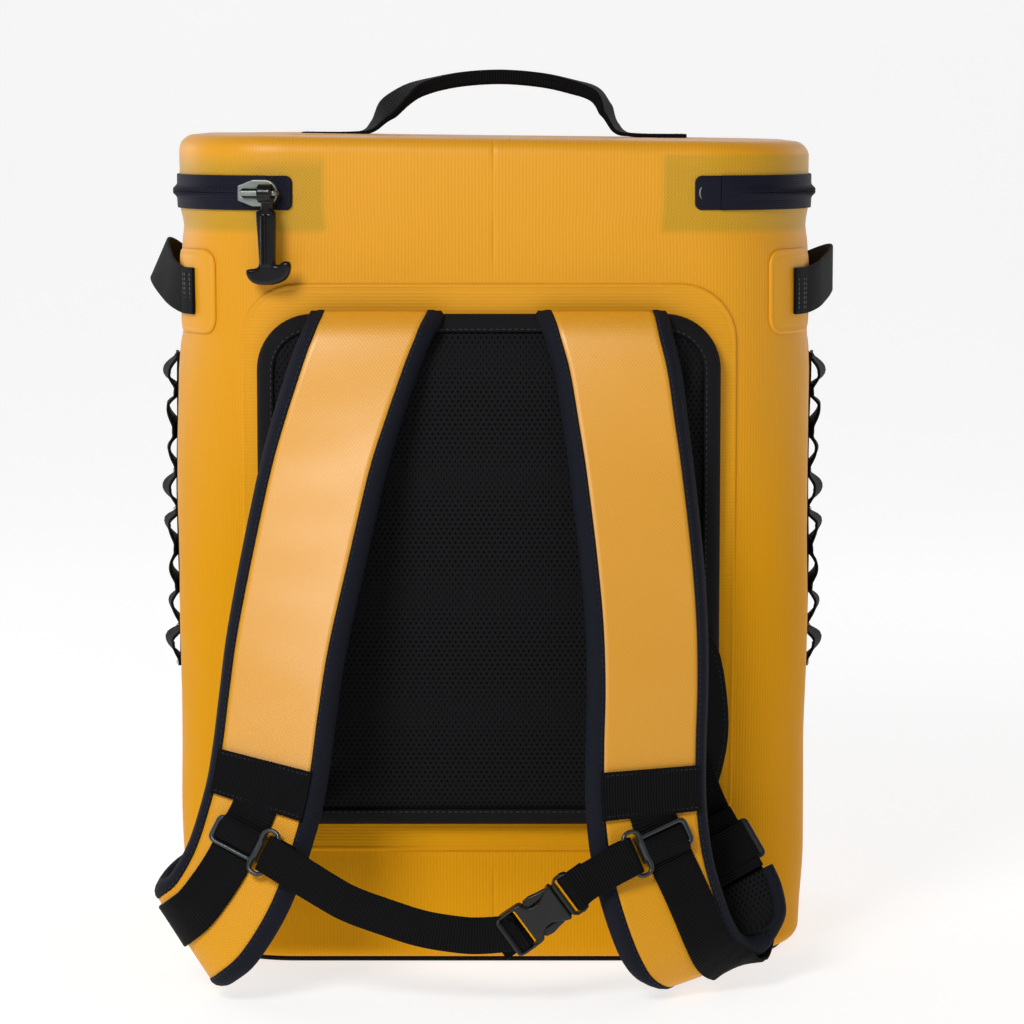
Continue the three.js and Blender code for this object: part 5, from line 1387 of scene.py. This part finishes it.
def build_anchor(name):
    hand, height = HAND[name], PANEL_TOP - PANEL_BOTTOM
    corners = np.array([(hand * a * PANEL_WIDTH / 2, PANEL_BOTTOM + b * height) for a, b in TAB_ROWS])
    closed = np.concatenate([corners[-1:], corners, corners[:2]])
    outline = hermite(closed, np.arange(1, len(corners) + 1, 0.2))
    seat = PANEL_BACK + PANEL_THICKNESS + CLEARANCE
    middle = FRONT - seat - WING_THICKNESS / 2
    turn = basis((1, 0, 0), (0, 0, 1), (0, -1, 0), (HARNESS_SHIFT, middle, 0))
    tab = fused(f"anchor_{name}", [plate([[tuple(p) for p in outline]], WING_THICKNESS, 0.9, 3)], turn)
    layer = tab.data.uv_layers.get("cloth") or tab.data.uv_layers.new(name="cloth")
    co = np.array([v.co for v in tab.data.vertices]) / MM
    corner = np.array([loop.vertex_index for loop in tab.data.loops])
    layer.uv.foreach_set("vector", co[corner][:, [0, 2]].astype(np.float32).ravel())
    piece(tab, TAB_CLOTH, replaces=[f"anchor_tab_{name}"])
    inset = hermite(closed, np.arange(1, len(corners) + 1.01, 0.1))
    inset = inset + (corners.mean(0) - inset) * 0.12
    line = np.stack([HARNESS_SHIFT + inset[:, 0], np.full(len(inset), middle - WING_THICKNESS / 2 - 0.05), inset[:, 1]], -1)
    rows = stitch_line(line, np.repeat([[0.0, -1.0, 0.0]], len(line), 0), pitch=3.0, length=2.0, width=0.5)
    piece(grid_mesh(f"anchor_{name}_stitching", rows), THREAD)
    end = vec(HARNESS_SHIFT + hand * 0.86 * PANEL_WIDTH / 2,
              FRONT - seat - WING_THICKNESS - CLEARANCE - WEBBING_THICKNESS / 2,
              PANEL_BOTTOM + 0.13 * height)
    lean = math.radians(20)
    return end, vec(math.cos(lean), 0, hand * math.sin(lean))


# The chest strap

CHEST_RINGS = {}
CHEST_OUT = 1.19
CHEST_ROUTES = {
    "left": [(-0.500, 0.140), (-0.425, 0.124), (-0.320, 0.109), (-0.215, 0.096), (-0.110, 0.0890), (-0.035, 0.0875)],
    "right": [(0.290, 0.153)],
}
BUCKLE_MIDDLE = (0.151, 0.1148)
BUCKLE_WRAP = {"left": 3.9, "right": 1.4}
# How much of the frame shows above and below the webbing
BARE_BAR = {"left": (0.0, 4.0), "right": (4.4, 0.0)}


def build_chest_slider(name):
    """The slider on the strap's webbing: a frame with the webbing through it, and a ring for the chest strap."""
    hand, at = HAND[name], SLIDER_ROW[name]

    def on_face(place):
        f = strap_frame(name, place)
        return strap_point(f, rail_middle(name, place), face_high(f))

    normal = strap_frame(name, at).normal
    upward = on_face(at - 0.3) - on_face(at + 0.3)
    upward = unit(upward - normal * np.dot(upward, normal))
    side = np.cross(upward, normal)
    centre = on_face(at) + normal * 2 * CLEARANCE
    matrix = basis(side, upward, normal, centre)
    inside = WEBBING_THICKNESS + 4 * CLEARANCE
    level = inside + CLIP_THICKNESS
    frame_hole = rounded(CLIP_WIDTH - 2 * BAR_WIDTH, CLIP_LENGTH - 2 * BAR_WIDTH * 0.8, 2.0)[::-1]
    clip = plate([rounded(CLIP_WIDTH, CLIP_LENGTH, 4.0), frame_hole], CLIP_THICKNESS + 0.8, 1.1, 3)
    clip = moved(clip, Matrix.Translation((0, 0, inside + CLIP_THICKNESS / 2 + 0.4)))
    feet = [moved(plate([rounded(1.9, CLIP_LENGTH - 1.5, 0.9, x=e * (CLIP_WIDTH / 2 - 1.1))], inside, 0.4, 2),
                  Matrix.Translation((0, 0, inside / 2 + 0.2))) for e in (-1, 1)]
    ring_x = -hand * (CLIP_WIDTH / 2 + RING_REACH / 2 - 2)
    window = rounded(RING_REACH + 4 - 2 * BAR_WIDTH, CHEST_WIDTH + 2, 2.4, x=ring_x)[::-1]
    ring = plate([rounded(RING_REACH + 4, CHEST_WIDTH + 2 * BAR_WIDTH + 1, 5.5, x=ring_x), window], RING_THICKNESS, 1.3, 3)
    ring = moved(ring, Matrix.Translation((0, 0, level)))
    obj = fused(f"chest_clip_{name}", [clip, ring, *feet], matrix, voxel=0.42, smooth=3)
    # Its grey finish is a painted reflection on black plastic.
    piece(obj, REFLECTION_GREY, replaces=[f"chest_slider_{name}"])

    # The strap's webbing lifts over the middle of the frame
    a = np.linspace(-1, 1, 17)
    half = WEBBING_WIDTH / 2 - 1.2
    rings = []
    above, below = BARE_BAR[name]
    for b in np.linspace(-1, 1, 15):
        hump = 1.0 - abs(b) ** 3
        place = (CLIP_LENGTH / 2 + 1.5) * b - above * (1 + b) / 2 + below * (1 - b) / 2
        top = [(x * half, place, level + 0.6 + 1.1 * hump * (1 - 0.3 * x * x) - 1.6 * abs(b) ** 6)
               for x in a]
        low = [(-x * half, place, level - 1.6 - 1.2 * abs(b) ** 6) for x in a]
        rings.append(top + low)
    grids = tube_grids(rings)
    place = np.array(matrix)
    grids = [(co @ place[:3, :3].T + place[:3, 3], uv) for co, uv in grids]
    piece(grid_mesh(f"chest_keeper_{name}", grids), WEB)
    bar = vec(-hand * (CLIP_WIDTH / 2 + RING_REACH - BAR_WIDTH / 2), 0, level)
    CHEST_RINGS[name] = (place[:3, :3] @ bar + place[:3, 3], -hand * side, normal, upward)


def buckle_frame():
    slant = math.radians(BUCKLE_SLANT)
    middle = vec(BUCKLE_MIDDLE[0] * BODY_WIDTH / 2, FRONT - CHEST_OUT * STRAP_REACH, BUCKLE_MIDDLE[1] * BODY_HEIGHT)
    along = vec(math.cos(slant), 0, math.sin(slant))
    across = vec(-math.sin(slant), 0, math.cos(slant))
    return middle, along, across


def mirrored(points):
    """A closed outline from its upper half, listed from left to right."""
    return list(points) + [(x, -y) for x, y in reversed(points)]


def build_buckle():
    """The side-release buckle: a socket with open sides, and an insert with two arms."""
    middle, along, across = buckle_frame()
    matrix = basis(along, across, np.cross(along, across), middle)
    half, wide = BUCKLE_LENGTH / 2, BUCKLE_WIDTH / 2
    slots = {"left": (-14.6, -11.6), "right": (14.2, 18.0)}
    joint = BUCKLE_LENGTH * 0.25
    socket = mirrored([
        (-half - 1.4, wide - 1.6), (-half - 0.6, wide - 0.4), (-half + 3, wide + 0.2), (-half + 8, wide + 0.2),
        (-9.5, wide), (-7.6, wide - 0.5), (-6.6, wide - 2.2), (-5.0, wide - 4.6), (-2.4, wide - 5.6),
        (1.5, wide - 5.4), (5.0, wide - 3.8), (8.0, wide - 1.8), (joint - 1.0, wide - 1.0), (joint, wide - 1.8),
    ])
    low, high = slots["left"]
    socket_slot = rounded(high - low, CHEST_WIDTH + 1.2, 1.2, x=(low + high) / 2)[::-1]
    female = plate([socket, socket_slot], BUCKLE_THICKNESS, 1.0, 4)
    insert = mirrored([
        (joint + 0.3, wide - 3.2), (joint + 1.6, wide - 1.6), (joint + 3.4, wide - 0.4), (half - 3.5, wide),
        (half - 1.0, wide - 0.8), (half, wide - 2.4),
    ])
    low, high = slots["right"]
    insert_slot = rounded(high - low, CHEST_WIDTH + 1.2, 1.2, x=(low + high) / 2)[::-1]
    male = plate([insert, insert_slot], BUCKLE_THICKNESS * 0.8, 0.8, 4)
    tongue = plate([rounded(20, BUCKLE_WIDTH * 0.5, 2.0, x=joint - 9)], 3.6, 0.8, 2)
    arms = []
    for hand in (-1, 1):
        arm = [(joint + 1, hand * (wide - 5.5)), (joint + 1, hand * (wide - 2.4)), (2.6, hand * (wide - 1.0)),
               (-1.6, hand * (wide - 0.1)), (-5.6, hand * (wide - 0.6)), (-8.0, hand * (wide - 3.4)),
               (-6.0, hand * (wide - 5.6)), (0.0, hand * (wide - 5.2))]
        arms.append(plate([arm if hand < 0 else arm[::-1]], 4.6, 1.0, 3))
    shave = [moved(plate([rounded(7.4, CHEST_WIDTH + 1.4, 0.5, x=-half + 5.0)], 4.0, 0.2, 1),
                   Matrix.Translation((0, 0, z))) for z in (4.3, -4.3)]
    shave_right = [moved(plate([rounded(7.0, CHEST_WIDTH + 1.4, 0.5, x=half - 1.8)], 4.0, 0.2, 1),
                         Matrix.Translation((0, 0, z))) for z in (4.3, -4.3)]
    lip = moved(rod(1.2, BUCKLE_WIDTH - 3, "Y", 16), Matrix.Translation((-half - 0.2, 0, BUCKLE_THICKNESS / 2 - 0.4)))
    obj = fused("buckle_socket", [female, lip], matrix, voxel=0.36, smooth=9, cuts=shave)
    piece(obj, SATIN, replaces=["buckle_female"])
    obj = fused("buckle_insert", [male, tongue, *arms], matrix, voxel=0.34, smooth=4, cuts=shave_right)
    piece(obj, SATIN, replaces=["buckle_male"])
    bar = (BUCKLE_LENGTH - BAR_WIDTH) / 2
    return {name: (middle + along * hand * bar, -hand * along, across) for name, hand in HAND.items()}


def build_chest_strap(name, bars):
    ring, inward, out, ring_side = CHEST_RINGS[name]
    bar, bar_inward, bar_side = bars[name]
    half = BAR_WIDTH / 2
    points = [ring - inward * x + out * y for x, y in loop_route(half, CHEST_THICKNESS, 9)[::-1]]
    sides = [ring_side] * len(points)
    begin = len(points)
    for across, up in CHEST_ROUTES[name]:
        points.append(vec(across * BODY_WIDTH / 2, FRONT - CHEST_OUT * STRAP_REACH, up * BODY_HEIGHT))
        sides.append(None)
    for x, y in loop_route(half, CHEST_THICKNESS, 10, BUCKLE_WRAP[name]):
        points.append(bar + bar_inward * x + vec(0, -y, 0))
        sides.append(bar_side)
    for k in range(begin, begin + len(CHEST_ROUTES[name])):
        run = points[k + 1] - points[k - 1]
        side = unit(vec(-run[2], 0, run[0]))
        sides[k] = side if side[2] > 0 else -side
    grids = webbing_grids(points, sides, CHEST_WIDTH, CHEST_THICKNESS, 1.2)
    piece(grid_mesh(f"chest_webbing_{name}", grids), WEB, replaces=[f"chest_strap_{name}"])


# The handles and the daisy chains

LID_TILT = 0.006
HANDLE_ROWS = [
    (-1.00, 0.00, 1.0, 0.0, 0), (-0.85, 0.00, 1.0, 0.0, 0), (-0.70, 0.02, 1.0, 0.0, 0), (-0.63, 0.14, 1.0, 0.0, 14),
    (-0.56, 0.42, 0.9, 0.2, 34), (-0.46, 0.68, 0.6, 0.5, 24), (-0.36, 0.82, 0.1, 1.0, 8), (-0.18, 0.95, 0.0, 1.0, 0),
    (0.03, 1.00, 0.0, 1.0, 0), (0.24, 0.95, 0.0, 1.0, 0), (0.40, 0.84, 0.0, 1.0, 4), (0.52, 0.71, 0.3, 0.8, 12),
    (0.58, 0.44, 0.9, 0.2, 28), (0.63, 0.14, 1.0, 0.0, 14), (0.70, 0.02, 1.0, 0.0, 0), (0.85, 0.00, 1.0, 0.0, 0),
    (1.00, 0.00, 1.0, 0.0, 0),
]


def build_top_handle():
    at = np.arange(0, len(HANDLE_ROWS) - 1 + 0.001, 0.11)
    rows = hermite(HANDLE_ROWS, at)
    flat = BODY_HEIGHT + LID_CROWN + CLEARANCE + HANDLE_THICKNESS / 2
    run = rows[:, 0] * HANDLE_SPAN / 2
    level = flat + np.maximum(rows[:, 1], 0) * HANDLE_RISE - LID_TILT * (run + HANDLE_SPAN / 2)
    points = np.stack([run, 0 * at, level], -1)
    lean = np.radians(rows[:, 4])
    sides = np.stack([0 * at, np.cos(lean), np.sin(lean)], -1)
    wide = GRIP_WIDTH + np.clip(rows[:, 2], 0, 1) * (WEBBING_WIDTH - GRIP_WIDTH)
    thick = HANDLE_THICKNESS + np.clip(rows[:, 3], 0, 1) * (GRIP_THICKNESS - HANDLE_THICKNESS)
    grip = np.clip(rows[:, 3], 0, 1)

    def section(k):
        half, core = wide[k] / 2, thick[k] / 2
        corner = min(core * 0.8, 1.9)
        a = np.linspace(-1, 1, 11)
        over = [(x * (half - corner * 0.4), core * (1 - 0.1 * x * x * grip[k])) for x in a]
        fold = 0.9 * grip[k]
        right = [(half, core * 0.55), (half - fold, 0.06), (half - fold, -0.06), (half, -core * 0.55)]
        under = [(-x, -y) for x, y in over]
        left = [(-half, -core * 0.55), (-half + fold, -0.06), (-half + fold, 0.06), (-half, core * 0.55)]
        return np.array(over + right + under + left)

    rings = strip_rings(frames_along(points, sides), section)
    piece(grid_mesh("carry_handle", tube_grids(rings)), WEB, replaces=["top_handle"])
    rows = []
    for hand in (-1, 1):
        for x in (0.76, 0.79, 0.95, 0.975):
            line = np.stack([np.full(12, hand * x * HANDLE_SPAN / 2), np.linspace(-11, 11, 12),
                             np.full(12, flat + HANDLE_THICKNESS / 2 + 0.1 - LID_TILT * (1 + hand * x) * HANDLE_SPAN / 2)], -1)
            rows += stitch_line(line, np.repeat(UP[None], 12, 0), pitch=2.4, length=1.8, width=0.6)
    piece(grid_mesh("carry_handle_stitching", rows), THREAD)


SIDE_TWIST = {"left": (15.0, -24.0), "right": (10.0, 0.0)}
SIDE_PATCH_SHIFT = {"left": 4.0, "right": 1.5}


def build_side_handle(name):
    hand = HAND[name]
    opening = SIDE_MIDDLE - SIDE_HANDLE_SPAN / 2
    closing = opening + SIDE_HANDLE_SPAN
    start, end = opening - SIDE_TAB_LENGTH, closing + SIDE_TAB_LENGTH
    lows = {"front": opening + SIDE_PATCH_MARGIN - SIDE_PATCH_LENGTH, "rear": closing - SIDE_PATCH_MARGIN}
    for place, low in lows.items():
        wall_patch(
            f"handle_patch_{name}_{place}", hand * (low + SIDE_PATCH_SHIFT[name] + SIDE_PATCH_LENGTH / 2), SIDE_HANDLE_LEVEL, SIDE_PATCH_LENGTH,
            SIDE_PATCH_HEIGHT, 9.0, SKIN, SIDE_CLOTH, [f"side_patch_{name}_{place}"],
        )
    seat = 2 * CLEARANCE + SKIN + WEBBING_THICKNESS / 2
    lift, lean = SIDE_TWIST[name]
    along = np.concatenate([
        np.linspace(start, opening, 12), np.linspace(opening, closing, 60)[1:-1], np.linspace(closing, end, 12),
    ])
    share = np.clip((along - opening) / SIDE_HANDLE_SPAN, 0, 1)
    rise = np.sin(math.pi * share) ** 2 * 0.4 + np.sin(math.pi * share) * 0.6
    points = wall(SIDE_HANDLE_LEVEL, hand * along, seat + rise * SIDE_HANDLE_REACH)
    points = points + UP * (rise * lift)[:, None]
    sides = np.stack([hand * math.tan(math.radians(lean)) * rise, 0 * rise, 1 + 0 * rise], -1)
    rings = strip_rings(frames_along(points, sides), web_section(WEBBING_WIDTH, WEBBING_THICKNESS))
    piece(grid_mesh(f"grab_handle_{name}", tube_grids(rings)), WEB, replaces=[f"side_handle_{name}"])
    rows = []
    levels = np.linspace(SIDE_HANDLE_LEVEL - 10.5, SIDE_HANDLE_LEVEL + 10.5, 16)
    top = seat + WEBBING_THICKNESS / 2 + 0.05
    for s in (start + 3, opening - 5, opening - 2.5, closing + 2.5, closing + 5, end - 3):
        line = wall(levels, hand * s, top)
        rows += stitch_line(line, np.repeat(wall_normal(np.array([hand * s])), 16, 0), pitch=2.6, length=1.9, width=0.6)
    piece(grid_mesh(f"grab_handle_{name}_stitching", rows), PALE_THREAD)


def build_daisy_chain(name):
    """Webbing tacked down at equal steps on a backing strip, so that it stands in loops."""
    hand = HAND[name]
    wall_patch(
        f"daisy_patch_{name}_skin", hand * SIDE_MIDDLE, (DAISY_BOTTOM + DAISY_TOP) / 2, DAISY_PATCH_WIDTH,
        DAISY_TOP - DAISY_BOTTOM + 2 * DAISY_PATCH_MARGIN, 9.0, SKIN, SIDE_CLOTH, [f"daisy_patch_{name}"],
    )
    pitch = (DAISY_TOP - DAISY_BOTTOM) / DAISY_LOOPS
    base = 2 * CLEARANCE + SKIN + WEBBING_THICKNESS / 2
    levels = np.linspace(DAISY_BOTTOM, DAISY_TOP, 60)
    strip = wall(levels, hand * SIDE_MIDDLE, base)
    out = wall_normal(np.array([hand * SIDE_MIDDLE]))[0]
    side = np.repeat([[0.0, 1.0, 0.0]], 60, 0)
    grids = tube_grids(strip_rings(frames_along(strip, side), web_section(WEBBING_WIDTH, WEBBING_THICKNESS)))
    count = DAISY_LOOPS * 18
    at = np.linspace(0, DAISY_LOOPS, count + 1)
    share = at - np.floor(np.minimum(at, DAISY_LOOPS - 1e-6))
    sway = 0.58 + 0.10 * np.sin(2.3 * np.floor(at) + 0.7)
    free = np.clip((share - 0.12) / 0.76, 0, 1)
    bent = np.where(free < sway, free / sway / 2, 0.5 + (free - sway) / (1 - sway) / 2)
    arch = np.sin(math.pi * bent) ** 1.15
    tall = 0.88 + 0.12 * np.sin(1.9 * np.floor(at) + 1.3)
    loops = wall(DAISY_BOTTOM + at * pitch, hand * SIDE_MIDDLE, base + WEBBING_THICKNESS + 0.1)
    loops = loops + out * (arch * tall * DAISY_REACH)[:, None]
    lean = 0.10 * np.sin(1.7 * at + 0.5) + 0.16 * arch
    sides = np.stack([hand * lean, 1 + 0 * at, 0 * at], -1)
    grids += tube_grids(strip_rings(frames_along(loops, sides), web_section(WEBBING_WIDTH, WEBBING_THICKNESS)))
    piece(grid_mesh(f"daisy_webbing_{name}", grids), WEB, replaces=[f"daisy_chain_{name}"])
    rows = []
    for k in range(DAISY_LOOPS + 1):
        level = np.clip(DAISY_BOTTOM + k * pitch, DAISY_BOTTOM + 1.5, DAISY_TOP - 1.5)
        across = np.linspace(-11, 11, 14)
        for shift in (-0.6, 0.6):
            line = wall(level + shift, hand * (SIDE_MIDDLE + across), base + WEBBING_THICKNESS * 1.5 + 0.3)
            rows += stitch_line(line, np.repeat(out[None], 14, 0), pitch=2.2, length=1.7, width=0.6)
    piece(grid_mesh(f"daisy_stitching_{name}", rows), THREAD)


# The scene round the object

def look_at(obj, target):
    obj.rotation_euler = (Vector(target) - obj.location).to_track_quat("-Z", "Y").to_euler()


def area_light(name, location, target, size, power, colour=(1.0, 1.0, 1.0)):
    light = bpy.data.lights.new(name, "AREA")
    light.shape = "DISK"
    light.size = size
    light.energy = power
    light.color = colour
    obj = bpy.data.objects.new(name, light)
    bpy.context.scene.collection.objects.link(obj)
    obj.location = location
    look_at(obj, target)


def build_stage():
    """A pale floor that rises behind the object in one sweep."""
    turn = np.linspace(0, math.pi / 2, 24)
    depth = np.concatenate([[-12.0, -1.0, 0.5], 1.6 + 1.4 * np.sin(turn), [3.0]])
    height = np.concatenate([[0.0, 0.0, 0.0], 1.4 * (1 - np.cos(turn)), [4.5]])
    across = np.linspace(-12.0, 12.0, 9)
    co = np.stack(np.broadcast_arrays(across[None], depth[:, None], height[:, None]), -1) / MM
    floor = grid_mesh("floor", [(co, co[..., :2].copy())])
    shader = Shader("floor_paint", (0.40, 0.40, 0.40), 0.9, Emission_Strength=0.72)
    shader.set("Emission Color", (1.0, 1.0, 1.0, 1.0))
    grain = shader.noise(3.0, 2.0)
    shader.set("Base Color", shader.mix(grain, (0.39, 0.39, 0.39), (0.41, 0.41, 0.41)))
    floor.data.materials.append(shader.material)


def build_lights():
    world = bpy.data.worlds.new("studio")
    bpy.context.scene.world = world
    world.use_nodes = True
    backdrop = world.node_tree.nodes["Background"]
    backdrop.inputs["Color"].default_value = (1.0, 1.0, 1.0, 1.0)
    backdrop.inputs["Strength"].default_value = 0.2
    middle = (0.0, 0.0, 0.24)
    area_light("key", (-0.72, -1.52, 1.3), middle, 0.7, 21)
    area_light("rim_left", (-1.6, 0.9, 0.7), middle, 0.8, 3.5)
    area_light("rim_right", (1.5, 1.2, 0.9), middle, 0.8, 2)


CAMERA_PLACE = (0.010, -2.1125, 0.480)
CAMERA_TARGET = (0.010, -0.1125, 0.2550)
CAMERA_LENS = 128.2


def build_camera():
    data = bpy.data.cameras.new("camera")
    data.lens = CAMERA_LENS
    data.sensor_width = 36.0
    obj = bpy.data.objects.new("camera", data)
    bpy.context.scene.collection.objects.link(obj)
    obj.location = CAMERA_PLACE
    look_at(obj, CAMERA_TARGET)
    bpy.context.scene.camera = obj
    bpy.context.scene.view_settings.view_transform = "Standard"


build_camera()
build_lights()
build_stage()
build_body()
build_lid()
build_base()
build_harness_patch()
build_zip()
build_docks()
build_slider()
build_pull()
build_panel()
build_panel_binding()
build_strap("left")
build_strap("right")
buckle_bars = build_buckle()
build_chest_strap("left", buckle_bars)
build_chest_strap("right", buckle_bars)
build_top_handle()
for side_name in ("left", "right"):
    build_side_handle(side_name)
    build_daisy_chain(side_name)
